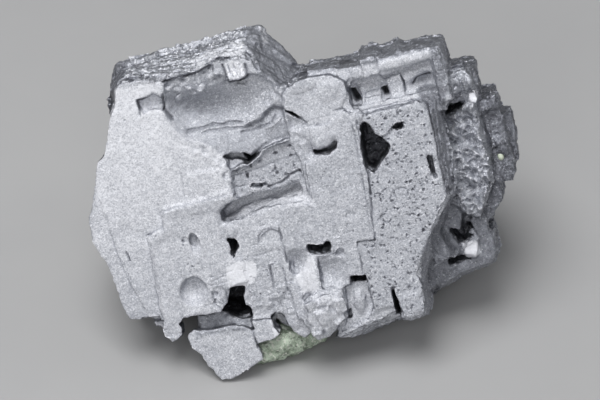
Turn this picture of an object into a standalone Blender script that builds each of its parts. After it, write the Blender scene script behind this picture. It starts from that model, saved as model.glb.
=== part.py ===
"""Skeletal galena: a lump of lead-grey crystal on the green rock that it grew on.

Every shape is drawn in the crystal's own frame, in millimetres. u runs along the broad front face to the
right, v runs up it and w comes out of it. The level of the right-hand panel is w = 0. The crystal frame is
then leaned back, turned and rolled to the way the lump lies, and the plane that it lies on cuts it off flat.
"""

import math
import random

import bmesh
import bpy
from mathutils import Euler, Matrix, Vector

MM = 0.001

# How the lump lies. The front face's normal stands LEAN degrees above the horizon.
LEAN = 29.0
TURN = -3.5
ROLL = 14.0
FACE_CENTRE = Vector((-1.61, -12.68, 35.6))

# Sizes in the crystal's own frame: how far back the front slabs and the inner mass reach, how deep a plate is
# rooted in what it lies on, and the gap between the crystal and the rock.
FRONT_LEVEL = 0.0
SLAB_DEPTH = 14.0
BODY_DEPTH = 33.0
ROOT = 3.0
ROCK_GAP = 0.3

# The small crystals on the rear blocks: how wide they are, and how far they stand out.
STEP_SEED = 11
STEP_SIZE = (4.0, 9.0)
STEP_RISE = (0.8, 2.6)


def clear_scene():
    for old in list(bpy.data.objects):
        bpy.data.objects.remove(old, do_unlink=True)


def finish_of(name, colour, roughness, metallic):
    finish = bpy.data.materials.new(name)
    finish.use_nodes = True
    shader = finish.node_tree.nodes["Principled BSDF"]
    shader.inputs["Base Color"].default_value = (*colour, 1.0)
    shader.inputs["Roughness"].default_value = roughness
    shader.inputs["Metallic"].default_value = metallic
    return finish


def crystal_axes():
    """The empty that carries the crystal's frame."""
    axes = bpy.data.objects.new("crystal_axes", None)
    bpy.context.scene.collection.objects.link(axes)
    turn = Matrix.Rotation(math.radians(TURN), 4, "Z")
    lean = Matrix.Rotation(math.radians(90.0 - LEAN), 4, "X")
    roll = Matrix.Rotation(math.radians(ROLL), 4, "Z")
    axes.matrix_world = Matrix.Translation(FACE_CENTRE * MM) @ turn @ lean @ roll
    return axes


def as_guide(made):
    """Keeps a shape that only joins or cuts out of the picture."""
    made.hide_render = True
    made.display_type = "WIRE"
    return made


def object_from(shape, name, collection, axes):
    """Makes an object of a bmesh that is drawn in millimetres, and hangs it on the crystal's axes."""
    bmesh.ops.scale(shape, vec=Vector((MM, MM, MM)), verts=shape.verts)
    bmesh.ops.recalc_face_normals(shape, faces=shape.faces)
    mesh = bpy.data.meshes.new(name)
    shape.to_mesh(mesh)
    shape.free()
    made = bpy.data.objects.new(name, mesh)
    collection.objects.link(made)
    made.parent = axes
    return made


def grown(outline, growth):
    """The outline with each side moved outwards by growth."""
    count = len(outline)
    area = sum(
        outline[i][0] * outline[(i + 1) % count][1] - outline[(i + 1) % count][0] * outline[i][1]
        for i in range(count)
    )
    outward = 1.0 if area > 0 else -1.0
    moved = []
    for i, (u, v) in enumerate(outline):
        before = Vector(outline[i - 1])
        here = Vector((u, v))
        after = Vector(outline[(i + 1) % count])
        first = (here - before).normalized()
        second = (after - here).normalized()
        first_out = Vector((first.y, -first.x)) * outward
        second_out = Vector((second.y, -second.x)) * outward
        bisector = (first_out + second_out).normalized()
        reach = growth / max(0.45, bisector.dot(first_out))
        moved.append(tuple(here + bisector * reach))
    return moved


def loft(levels):
    """A closed solid through several levels of (outline, w), from the face down. All outlines have as many
    points."""
    shape = bmesh.new()
    rings = [[shape.verts.new((u, v, w)) for u, v in outline] for outline, w in levels]
    count = len(rings[0])
    for upper, lower in zip(rings, rings[1:]):
        for i in range(count):
            j = (i + 1) % count
            shape.faces.new((upper[i], upper[j], lower[j]))
            shape.faces.new((upper[i], lower[j], lower[i]))
    shape.faces.new(rings[0])
    shape.faces.new(list(reversed(rings[-1])))
    return shape


class Lump:
    """Collects the crystals that grew together and the hollows in them, in the order that they are joined."""

    def __init__(self, axes):
        self.axes = axes
        self.stages = []

    def begin(self, name, operation):
        """Starts a group of shapes that are joined to the lump, or cut from it, in one go."""
        group = bpy.data.collections.new(name)
        bpy.context.scene.collection.children.link(group)
        group.hide_render = True
        self.stages.append((name, operation, group))

    def keep(self, shape, name):
        return as_guide(object_from(shape, name, self.stages[-1][2], self.axes))

    def plate(self, name, outline, face, root, draft=0.0):
        """A flat-faced crystal whose sides spread by draft from its face to its root."""
        return self.keep(loft([(outline, face), (grown(outline, draft), root)]), name)

    def stepped(self, name, *levels):
        return self.keep(loft(levels), name)

    def pit(self, name, outline, depth, draft=0.25, face=2.0, floor=None):
        """A hollow that opens at the face and narrows by draft to its floor."""
        mouth = grown(outline, 0.1)
        return self.keep(loft([(mouth, face), (floor or grown(outline, -draft), depth)]), name)

    def scoop(self, name, centre, radii, turn=0.0, facets=3):
        """A rounded hollow, or a rounded crystal."""
        shape = bmesh.new()
        bmesh.ops.create_icosphere(shape, subdivisions=facets, radius=1.0)
        bmesh.ops.scale(shape, vec=Vector(radii), verts=shape.verts)
        bmesh.ops.rotate(shape, matrix=Matrix.Rotation(math.radians(turn), 3, "Z"), verts=shape.verts)
        bmesh.ops.translate(shape, vec=Vector(centre), verts=shape.verts)
        return self.keep(shape, name)

    def cube(self, name, centre, size, tilt=(0.0, 0.0, 0.0), taper=1.0):
        """A cube of the crystal's habit, a little narrower at its face by taper."""
        shape = bmesh.new()
        bmesh.ops.create_cube(shape, size=1.0)
        upper = [corner for corner in shape.verts if corner.co.z > 0]
        bmesh.ops.scale(shape, vec=Vector((taper, taper, 1.0)), verts=upper)
        bmesh.ops.scale(shape, vec=Vector(size), verts=shape.verts)
        bmesh.ops.rotate(shape, matrix=Euler([math.radians(a) for a in tilt]).to_matrix(), verts=shape.verts)
        bmesh.ops.translate(shape, vec=Vector(centre), verts=shape.verts)
        return self.keep(shape, name)


def left_block(lump):
    """The thick crystal on the left. Its top slopes back to a long edge, and its right end is broken off."""
    face = [
        (-31.0, 32.0), (-22.8, 30.6), (-15.0, 31.2), (-11.7, 32.2), (-5.7, 32.1), (-4.0, 31.0), (-3.4, 29.0),
        (0.0, 23.5), (0.6, 18.0), (0.3, -8.0), (-8.0, -19.5), (-22.0, -20.2), (-35.5, -19.1), (-40.9, -17.9),
        (-41.9, -15.3), (-42.9, -5.8), (-45.0, 0.0), (-45.0, 4.2), (-42.0, 11.0), (-40.0, 16.7),
        (-38.4, 17.4), (-35.2, 25.0), (-33.2, 28.2), (-33.0, 30.4),
    ]  # fmt: skip
    back = [
        (-33.7, 34.9), (-23.6, 35.6), (-15.4, 36.0), (-11.6, 36.3), (-4.4, 36.8), (-1.4, 36.4), (-0.2, 34.2),
        (4.4, 27.6), (6.0, 18.0), (4.0, -9.0), (-6.0, -21.0), (-22.0, -22.0), (-34.5, -20.6), (-39.6, -19.2),
        (-41.2, -16.2), (-42.2, -6.6), (-44.2, -0.6), (-44.3, 3.0), (-42.2, 9.0), (-40.4, 14.0),
        (-39.4, 15.6), (-37.6, 21.0), (-36.6, 26.6), (-36.2, 30.4),
    ]  # fmt: skip
    lump.stepped("left_block", (face, 0.35), (back, -SLAB_DEPTH - 1.0))
    lump.cube("left_back", (-18.0, 6.5, -19.5), (36.0, 42.0, 15.0), tilt=(2.0, 0.0, 0.0), taper=1.04)
    lump.plate(
        "left_plate",
        [
            (-28.8, 3.9), (-13.9, 5.2), (-13.4, 3.2), (-17.6, 1.2), (-17.8, -4.9), (-15.7, -6.0),
            (-16.9, -14.9), (-19.6, -15.6), (-21.2, -20.2), (-30.0, -19.8), (-31.0, -23.6), (-33.0, -24.6),
            (-34.2, -23.0), (-33.6, -19.0), (-32.6, -1.6), (-29.3, -0.3),
        ],
        0.95,
        -ROOT,
        draft=0.2,
    )  # fmt: skip
    lump.plate(
        "left_inner_plate",
        [(-22.0, 10.0), (-13.7, 10.4), (-13.6, 5.5), (-22.4, 5.1)],
        0.65,
        -ROOT - 0.2,
    )
    lump.plate(
        "left_edge_plate",
        [(-44.4, 3.0), (-41.0, 3.6), (-39.2, -16.0), (-41.4, -15.6)],
        -0.4,
        -ROOT,
        0.3,
    )
    lump.plate("left_foot", [(-37.0, -18.0), (-33.2, -18.0), (-33.2, -22.8), (-36.4, -21.4)], -3.2, -9.0)


def left_hollows(lump):
    lump.pit(
        "corner_notch",
        [(-28.6, 27.2), (-25.2, 28.0), (-23.3, 26.7), (-23.7, 24.6), (-26.5, 25.0), (-28.5, 24.5)],
        -0.9,
    )
    lump.pit(
        "oval_pit",
        [(-24.9, -3.0), (-23.8, -2.6), (-23.0, -3.4), (-23.2, -5.2), (-24.8, -5.2)],
        -0.3,
        draft=0.3,
    )
    lump.pit("oval_pit_side", [(-26.0, -2.9), (-25.3, -2.9), (-25.3, -3.8), (-26.1, -3.7)], -0.4, draft=0.1)
    lump.scoop("round_pit", (-26.5, -14.6, 1.2), (2.7, 3.1, 2.0))
    lump.pit(
        "pit_by_the_gap",
        [(-22.4, -15.9), (-21.2, -15.4), (-21.5, -16.6), (-22.3, -16.7)],
        0.0,
        draft=0.1,
    )
    lump.pit(
        "side_crescent",
        [(-17.4, -4.9), (-15.9, -5.1), (-15.2, -6.3), (-15.8, -7.9), (-16.9, -9.3), (-16.6, -7.4),
         (-16.6, -6.0)],
        -5.0,
        draft=0.1,
    )


def broken_top(lump):
    """The shelf and the shell-shaped break under the top edge of the left block."""
    lump.pit(
        "shelf",
        [(-22.8, 30.3), (-15.0, 30.9), (-11.4, 32.4), (-11.6, 28.6), (-15.6, 26.2), (-22.9, 26.4)],
        -1.1,
        draft=0.5,
    )
    lump.scoop("shell_break", (-11.2, 23.2, 3.3), (13.6, 6.6, 8.2), turn=2.0)
    lump.scoop("shell_break_corner", (-17.0, 24.2, 0.6), (6.2, 4.2, 5.4), turn=-12.0, facets=2)


def broken_top_crystals(lump):
    lump.scoop("draped_fold", (-3.9, 16.6, -0.6), (5.2, 1.9, 2.3), turn=27.0, facets=2)
    lump.cube("bright_cube", (-7.7, 29.3, -2.1), (4.4, 4.6, 5.2), tilt=(-5.0, 4.0, 9.0), taper=0.9)
    lump.cube("shelf_knob", (-16.4, 27.6, -1.6), (1.8, 2.0, 2.8), tilt=(0.0, 5.0, 20.0), taper=0.8)
    lump.cube("shelf_knob_small", (-19.6, 25.4, -2.4), (1.4, 1.3, 2.6), tilt=(6.0, 0.0, 35.0), taper=0.7)
    lump.plate(
        "break_strip", [(1.0, 22.2), (-0.6, 24.2), (3.4, 23.0), (3.8, 22.0)], -2.0, -6.0, draft=0.2
    )


def middle_block(lump):
    """The broad plates in the middle of the face."""
    lump.stepped(
        "middle_core",
        (
            [(-6.0, 24.0), (13.0, 24.0), (16.5, 15.0), (16.0, -25.0), (4.0, -28.6), (-9.0, -26.0),
             (-14.5, -20.0)],
            -0.35,
        ),
        (
            [(-6.0, 26.5), (14.0, 26.0), (18.0, 16.0), (17.0, -30.0), (2.0, -33.0), (-10.0, -30.0),
             (-16.0, -22.0)],
            -SLAB_DEPTH - 2.0,
        ),
    )
    lump.plate(
        "round_plate",
        [
            (1.0, 19.5), (2.0, 22.6), (4.4, 24.7), (8.0, 25.0), (11.6, 24.5), (14.2, 22.7), (14.4, 20.0),
            (12.4, 17.6), (11.2, 15.0), (2.0, 15.3),
        ],
        0.25,
        -ROOT,
        draft=0.3,
    )  # fmt: skip
    lump.plate(
        "centre_plate",
        [
            (9.9, 15.0), (13.0, 16.9), (16.8, 15.3), (15.3, 12.8), (14.7, 5.0), (15.1, 2.0), (14.4, -2.0),
            (13.8, -5.0), (13.6, -11.3), (9.95, -11.0), (10.0, -18.3), (6.8, -18.2), (5.0, -12.8),
            (-5.1, -12.6), (-4.9, -1.1), (2.5, -1.2), (2.6, 7.5), (5.0, 8.2), (10.0, 9.0),
        ],
        0.5,
        -ROOT - 0.4,
        draft=0.1,
    )  # fmt: skip
    lump.plate("neck_plate", [(1.6, 14.6), (10.6, 15.1), (10.2, 9.8), (4.8, 9.6), (4.2, 13.0)], 0.1, -ROOT)
    lump.plate(
        "hanging_plate",
        [(5.0, 14.6), (9.4, 14.9), (10.0, 12.2), (8.4, 10.2), (5.6, 9.9)],
        0.75,
        -ROOT,
        0.15,
    )
    lump.plate(
        "pitted_plate",
        [(-13.3, 9.2), (-8.9, 9.6), (-4.6, 12.2), (0.8, 12.2), (1.3, 9.8), (1.1, 3.9), (-4.0, 2.9),
         (-13.2, 3.0)],
        -0.9,
        -6.0,
        draft=0.4,
    )
    lump.plate(
        "lower_plate",
        [(-17.4, -1.8), (-6.5, -1.0), (-5.0, -1.1), (-5.2, -9.6), (-16.6, -9.3)],
        0.15,
        -ROOT,
    )
    lump.plate(
        "lip_plate",
        [(-17.4, -1.9), (-15.6, -1.8), (-14.8, -3.4), (-15.8, -5.2), (-17.6, -4.4)],
        0.75,
        -2.0,
        0.1,
    )


def middle_hollows(lump):
    lump.pit(
        "crescent_gap",
        [
            (-14.2, 12.5), (-11.7, 12.8), (-8.8, 12.1), (-7.1, 12.3), (-4.8, 13.3), (-1.4, 14.2), (0.5, 14.6),
            (0.9, 13.2), (-2.1, 12.9), (-4.7, 12.2), (-6.4, 11.3), (-7.8, 10.4), (-8.9, 9.6), (-10.0, 9.9),
            (-13.2, 9.1), (-13.0, 11.2),
        ],
        -4.2,
        draft=0.2,
    )  # fmt: skip
    lump.pit(
        "crescent_throat",
        [(-10.0, 11.8), (-8.0, 11.9), (-7.6, 10.6), (-8.9, 9.9), (-9.6, 10.2)],
        -10.0,
        0.1,
    )
    lump.pit(
        "pitted_panel",
        [
            (-13.6, 9.4), (-8.9, 9.8), (-4.7, 12.4), (-2.0, 13.1), (1.2, 12.9), (1.8, 10.4), (2.5, 8.0),
            (2.6, -0.9), (-5.0, -0.6), (-6.6, -0.8), (-13.7, 3.2),
        ],
        -1.3,
        draft=0.8,
    )  # fmt: skip
    lump.pit(
        "long_recess",
        [
            (-17.3, 0.9), (-14.6, 2.4), (-12.0, 3.0), (-8.1, 3.3), (-5.4, 3.1), (-3.3, 3.3), (0.7, 4.2),
            (1.5, -0.5), (-5.0, -0.7), (-6.6, -1.0), (-12.0, -1.7), (-17.2, -1.7),
        ],
        -5.2,
        floor=[
            (-16.4, 0.7), (-14.3, 2.1), (-12.0, 2.7), (-8.1, 3.0), (-5.4, 2.8), (-3.3, 3.0), (0.3, 3.8),
            (0.5, 2.4), (-5.0, 1.6), (-6.6, 1.4), (-12.0, 0.7), (-16.0, 0.0),
        ],
    )  # fmt: skip
    lump.pit(
        "side_slot",
        [(4.6, 9.9), (6.6, 9.5), (8.6, 10.0), (10.2, 11.2), (9.8, 9.3), (8.2, 8.5), (4.8, 8.9)],
        -6.0,
        0.1,
    )
    lump.pit("side_recess", [(2.0, 11.9), (4.6, 12.0), (5.0, 9.0), (2.8, 8.2), (2.0, 10.3)], -2.3)
    lump.pit("facet_under_crack", [(1.4, 18.9), (5.0, 16.0), (6.2, 15.2), (2.0, 15.0)], -1.1, draft=0.3)
    lump.pit("thin_crack", [(1.2, 19.2), (1.6, 19.3), (5.0, 16.3), (4.6, 16.0)], -4.0, draft=0.05)
    lump.pit(
        "rounded_frame",
        [(-10.6, -4.4), (-9.6, -3.4), (-5.4, -4.0), (-5.6, -8.6), (-10.7, -7.8)],
        -0.6,
        draft=0.3,
    )
    lump.pit(
        "middle_slot",
        [(-1.0, -9.8), (2.4, -10.7), (3.2, -9.8), (4.3, -9.9), (4.2, -11.4), (3.4, -12.9), (-0.7, -11.9)],
        -8.0,
        floor=[(-0.7, -10.1), (2.3, -11.0), (3.2, -10.1), (4.1, -10.2), (4.0, -11.0), (3.2, -11.6),
               (-0.4, -10.9)],
    )
    lump.scoop("thumb_scoop", (-3.3, -13.2, 1.2), (2.1, 3.6, 3.2), turn=16.0, facets=2)
    lump.scoop("small_scoop", (5.8, -13.4, 0.9), (1.1, 1.3, 1.9), facets=2)
    lump.pit("square_recess", [(-0.7, -13.4), (5.6, -14.8), (5.9, -19.9), (-0.1, -19.7)], -1.8, draft=0.5)
    lump.pit("long_groove", [(-5.4, -5.8), (-5.0, -5.8), (-5.2, -12.4), (-5.6, -12.4)], -1.0, draft=0.05)


def right_block(lump):
    """The panel on the right, with its wide bevel and the terrace with a raised rim above it."""
    face = [
        (9.8, -10.9), (13.9, -11.2), (14.2, -5.0), (15.6, 3.0), (16.0, 14.6), (28.3, 15.1), (30.0, 12.0),
        (30.1, 5.0), (30.4, -1.0), (30.1, -5.4), (28.3, -7.6), (26.0, -11.2), (24.8, -12.9), (24.2, -14.4),
        (22.9, -16.4), (21.3, -18.2), (20.9, -20.5), (20.9, -27.5), (20.4, -29.0), (18.0, -29.7),
        (16.1, -29.0), (15.4, -27.4), (15.0, -26.4), (10.3, -26.1),
    ]  # fmt: skip
    bevel = [
        (9.8, -10.9), (13.9, -11.2), (14.2, -5.0), (15.6, 3.0), (16.0, 15.5), (29.6, 15.9), (32.4, 13.2),
        (32.8, 5.0), (33.0, -1.4), (32.2, -6.0), (30.2, -8.6), (28.0, -12.2), (26.6, -14.2), (26.0, -16.0),
        (24.8, -18.0), (23.2, -20.0), (22.4, -22.0), (22.2, -28.4), (21.4, -30.4), (18.0, -31.0),
        (15.6, -30.4), (14.8, -28.6), (14.4, -28.2), (9.9, -28.0),
    ]  # fmt: skip
    root = [(u * 1.01 + 0.2, v * 1.015 - 0.4) for u, v in bevel]
    lump.stepped("right_block", (face, FRONT_LEVEL), (bevel, -3.4), (root, -SLAB_DEPTH - 0.6))
    lump.plate(
        "right_foot_plate",
        [(15.8, -27.9), (16.6, -25.0), (20.2, -24.6), (20.3, -28.3), (18.0, -29.1)],
        0.3,
        -2.4,
    )
    lump.stepped(
        "underside_facet",
        ([(1.6, -30.2), (4.4, -28.9), (10.2, -26.4), (14.7, -26.8), (14.9, -27.6), (2.0, -31.0)], -0.9),
        ([(0.6, -32.2), (4.4, -31.0), (10.0, -28.0), (15.2, -28.4), (15.4, -30.9), (5.4, -33.0)], -6.5),
        ([(0.6, -33.0), (4.4, -31.0), (10.0, -28.0), (15.2, -28.4), (16.4, -31.6), (5.4, -34.4)], -16.5),
    )


def upper_terrace(lump):
    outline = [
        (12.5, 25.0), (18.0, 25.2), (18.9, 26.2), (21.6, 26.3), (22.0, 25.6), (25.0, 25.7), (26.4, 26.5),
        (27.4, 25.7), (35.3, 25.6), (35.9, 21.0), (34.0, 12.0), (13.0, 13.0),
    ]  # fmt: skip
    lump.plate("terrace", outline, -2.4, -17.2, draft=0.9)
    lump.plate(
        "terrace_rim",
        [(16.0, 24.6), (34.9, 25.1), (34.8, 23.6), (16.0, 22.7)],
        -1.9,
        -6.0,
        draft=0.1,
    )
    lump.plate(
        "terrace_side_rim",
        [(33.2, 25.0), (34.9, 24.8), (35.2, 14.0), (33.0, 13.6)],
        -1.6,
        -6.2,
        draft=0.4,
    )
    lump.cube("terrace_cap", (20.0, 24.3, -4.0), (3.6, 4.0, 5.6), tilt=(0.0, 0.0, 3.0), taper=0.94)
    lump.cube("terrace_ridge", (10.6, 24.2, -8.6), (6.4, 4.0, 9.2), tilt=(0.0, 0.0, -2.0), taper=0.9)
    lump.cube("terrace_ridge_low", (16.2, 23.0, -10.0), (5.6, 4.4, 11.0), tilt=(3.0, 0.0, 1.0), taper=0.92)


def terrace_hollows(lump):
    lump.pit(
        "terrace_floor",
        [(15.2, 22.4), (22.8, 22.2), (33.1, 23.4), (32.8, 16.9), (27.0, 16.4), (14.6, 16.3)],
        -4.6,
        draft=0.4,
    )
    lump.pit(
        "terrace_arc",
        [(27.3, 17.6), (27.6, 19.2), (29.0, 20.2), (32.2, 20.6), (32.0, 18.2), (29.5, 17.4)],
        -6.4,
        0.3,
    )
    lump.pit(
        "dark_hole",
        [(15.1, 19.6), (16.2, 20.1), (17.0, 19.4), (16.9, 17.9), (15.9, 17.5), (15.2, 18.2)],
        -13.0,
        0.1,
    )
    lump.pit(
        "dark_hole_right",
        [(21.0, 18.6), (22.1, 19.0), (22.7, 17.8), (22.2, 16.8), (21.4, 17.2)],
        -13.0,
        0.1,
    )
    lump.pit("terrace_gap", [(14.6, 21.0), (16.8, 20.9), (16.9, 16.9), (14.8, 17.2)], -6.2, draft=0.2)


def terrace_insets(lump):
    """The low crystals that stand on the terrace's floor."""
    lump.plate(
        "terrace_block",
        [(22.8, 21.0), (26.2, 21.2), (26.1, 15.6), (23.2, 15.6)],
        -3.7,
        -8.0,
        draft=0.15,
    )
    lump.plate("terrace_block_right", [(26.6, 21.4), (32.6, 22.0), (32.6, 20.6), (26.7, 19.2)], -4.1, -8.1)
    lump.cube("terrace_step", (19.0, 17.0, -5.4), (4.6, 2.2, 4.2), tilt=(4.0, 0.0, -3.0), taper=0.86)
    lump.cube("terrace_knob", (18.2, 19.6, -6.4), (2.2, 1.8, 4.0), tilt=(0.0, 6.0, 12.0), taper=0.8)


def right_hollows(lump):
    lump.pit(
        "great_hole",
        [
            (15.5, 12.4), (16.6, 13.6), (17.4, 12.6), (18.2, 10.6), (19.7, 9.3), (20.9, 7.6), (20.3, 6.0),
            (18.6, 4.5), (17.5, 3.4), (16.3, 2.3), (15.2, 3.5), (14.9, 5.0), (15.1, 9.8),
        ],
        -12.0,
        draft=0.15,
    )  # fmt: skip
    lump.pit(
        "great_hole_finger",
        [
            (19.6, 9.8), (21.3, 10.8), (22.2, 11.6), (24.4, 11.9), (24.4, 10.5), (22.9, 10.3), (21.5, 9.1),
            (20.2, 8.3),
        ],
        -4.2,
        floor=[
            (20.4, 9.5), (21.6, 10.5), (22.5, 11.3), (24.2, 11.7), (24.2, 10.7), (23.1, 10.5), (21.9, 9.6),
            (20.9, 8.8),
        ],
    )  # fmt: skip
    lump.pit(
        "slanted_slot",
        [(27.7, 3.7), (28.9, 4.0), (29.0, 2.3), (28.9, -0.6), (28.2, -0.9), (27.8, 2.1)],
        -3.2,
        0.15,
    )
    lump.pit(
        "foot_slit",
        [(14.9, -22.4), (15.3, -22.3), (16.0, -28.2), (15.2, -29.6), (14.9, -27.6)],
        -8.0,
        draft=0.05,
    )
    lump.pit("square_hole", [(6.9, -18.2), (10.3, -18.6), (10.4, -20.1), (7.0, -19.9)], -11.0, draft=0.1)
    lump.pit(
        "ring_recess",
        [
            (5.0, -20.2), (7.0, -19.0), (10.4, -19.4), (10.5, -26.2), (8.9, -28.4), (6.5, -29.6),
            (3.2, -29.2), (4.6, -26.0),
        ],
        -4.0,
        draft=0.5,
    )  # fmt: skip
    lump.scoop("waist_hollow", (29.5, -13.2, -4.2), (5.0, 7.4, 4.4), turn=-20.0)
    lump.scoop("foot_hollow", (24.6, -23.4, -2.2), (2.6, 4.8, 3.4), turn=-12.0, facets=2)
    lump.pit(
        "side_gap",
        [(33.6, 12.6), (38.6, 12.4), (36.4, 10.6), (33.2, 9.4)],
        -19.0,
        draft=0.15,
        face=-5.0,
    )
    lump.pit(
        "waist_gap",
        [(28.8, -14.2), (34.3, -16.9), (32.0, -18.6), (30.2, -18.0)],
        -20.2,
        draft=0.15,
        face=-5.0,
    )
    lump.pit(
        "low_slot",
        [(27.4, -21.2), (33.0, -20.6), (33.4, -22.0), (27.6, -22.8)],
        -18.0,
        draft=0.2,
        face=-7.0,
    )


def foot_crystals(lump):
    """The small crystals at the foot of the face."""
    lump.scoop("oval_crystal", (7.7, -24.0, -3.3), (1.9, 3.9, 3.0), turn=-4.0, facets=2)
    lump.cube("oval_crystal_foot", (7.0, -27.4, -3.6), (2.0, 1.6, 3.4), tilt=(20.0, 8.0, 15.0), taper=0.7)
    lump.stepped(
        "rough_crystal",
        (
            [(-2.6, -22.0), (-1.4, -21.0), (0.6, -21.2), (3.4, -21.4), (3.9, -23.6), (3.2, -25.6),
             (0.8, -27.6), (-1.0, -28.6), (-2.6, -27.8), (-3.4, -25.2)],
            2.3,
        ),
        (
            [(-3.7, -21.3), (-2.0, -20.1), (0.4, -19.8), (4.6, -20.3), (5.1, -23.4), (4.4, -25.6),
             (1.8, -28.6), (0.0, -30.0), (-2.9, -30.2), (-4.7, -25.6)],
            0.9,
        ),
        (
            [(-3.9, -21.2), (-2.0, -20.0), (0.4, -19.7), (4.8, -20.2), (5.3, -23.4), (4.6, -25.8),
             (2.0, -29.0), (0.0, -31.0), (-3.2, -31.2), (-4.9, -25.6)],
            -8.5,
        ),
    )  # fmt: skip
    lump.cube("bright_patch", (-16.5, -12.5, -1.6), (3.7, 5.2, 5.4), tilt=(-3.0, 3.0, 1.0), taper=0.97)
    lump.plate(
        "column_plate",
        [(-14.9, -9.4), (-10.4, -9.5), (-10.6, -20.8), (-15.2, -20.9)],
        0.45,
        -ROOT - 0.6,
        0.15,
    )
    lump.plate(
        "column_plate_right",
        [(-10.0, -9.9), (-6.6, -10.1), (-6.4, -19.0), (-9.8, -18.6)],
        0.05,
        -ROOT - 0.7,
        0.1,
    )
    lump.cube("slanting_rib", (-2.6, -17.4, -1.0), (1.7, 7.6, 3.4), tilt=(0.0, 4.0, -34.0), taper=0.8)
    lump.plate(
        "rib_plate",
        [(-6.2, -16.8), (-4.2, -17.6), (-4.0, -24.6), (-5.6, -25.2)],
        0.8,
        -ROOT,
        draft=0.3,
    )
    lump.plate(
        "foot_plate",
        [(-15.3, -20.3), (-6.8, -19.4), (-5.2, -24.0), (-9.0, -23.0), (-14.9, -22.9)],
        -0.1,
        -6.4,
        0.2,
    )
    lump.plate(
        "small_foot",
        [(-15.4, -22.9), (-11.3, -23.4), (-11.4, -25.9), (-10.4, -27.4), (-11.7, -28.4), (-15.5, -28.3)],
        0.35,
        -6.0,
        draft=0.1,
    )
    lump.plate(
        "cave_lip", [(-9.2, -22.9), (-5.4, -24.4), (-3.6, -28.6), (-5.2, -29.6),
                     (-7.6, -27.6)], -0.6, -7.2, draft=0.3
    )
    lump.stepped(
        "broken_foot",
        (
            [(-30.0, -23.9), (-28.5, -22.9), (-24.6, -23.6), (-19.7, -23.5), (-17.7, -24.3), (-15.9, -25.5),
             (-15.8, -27.6), (-15.2, -30.4), (-14.8, -32.0), (-20.0, -34.4), (-22.2, -35.0), (-24.7, -35.0),
             (-26.7, -31.6), (-27.7, -28.9), (-29.6, -26.7)],
            0.25,
        ),
        (
            [(-28.6, -25.0), (-27.5, -24.2), (-24.6, -24.6), (-19.7, -24.5), (-17.7, -25.2), (-16.4, -26.2),
             (-16.2, -28.0), (-15.6, -30.4), (-15.2, -32.4), (-20.0, -35.4), (-22.2, -36.4), (-24.3, -36.4),
             (-25.8, -32.6), (-26.6, -29.9), (-28.0, -27.4)],
            -8.5,
        ),
    )  # fmt: skip


def foot_root(lump):
    """What ties the broken crystal at the foot to the lump behind it."""
    lump.cube("foot_root", (-22.0, -24.5, -10.5), (12.5, 8.0, 11.0), tilt=(8.0, 0.0, 2.0), taper=0.9)
    lump.cube("foot_root_low", (-19.0, -29.0, -17.0), (10.0, 11.0, 8.0), tilt=(0.0, 0.0, 0.0), taper=0.9)


def foot_hollows(lump):
    lump.pit(
        "foot_hole",
        [
            (-18.5, -15.2), (-15.4, -15.6), (-16.2, -17.5), (-16.1, -20.1), (-16.5, -22.7), (-18.5, -23.1),
            (-20.2, -22.4), (-23.0, -22.0), (-21.6, -20.3), (-20.0, -18.8), (-19.2, -17.0),
        ],
        -20.0,
        draft=0.1,
    )  # fmt: skip
    lump.pit(
        "foot_cleft",
        [(-30.9, -21.0), (-29.9, -20.1), (-28.0, -20.7), (-28.0, -22.7), (-29.5, -23.3)],
        -9.0,
        0.1,
    )
    lump.pit(
        "foot_groove",
        [(-28.4, -20.6), (-22.6, -21.2), (-16.4, -22.4), (-15.6, -24.8), (-28.2, -22.9)],
        -4.4,
        0.3,
    )
    lump.pit(
        "cave",
        [(-11.2, -22.6), (-9.3, -22.9), (-8.3, -25.2), (-7.8, -27.9), (-10.2, -28.6), (-10.2, -26.6),
         (-11.2, -25.0)],
        -6.0,
        draft=0.1,
    )
    lump.pit(
        "small_slit",
        [(-6.2, -27.2), (-5.5, -26.3), (-4.3, -26.5), (-4.2, -27.1), (-5.2, -27.0)],
        -3.6,
        draft=0.05,
    )


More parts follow.
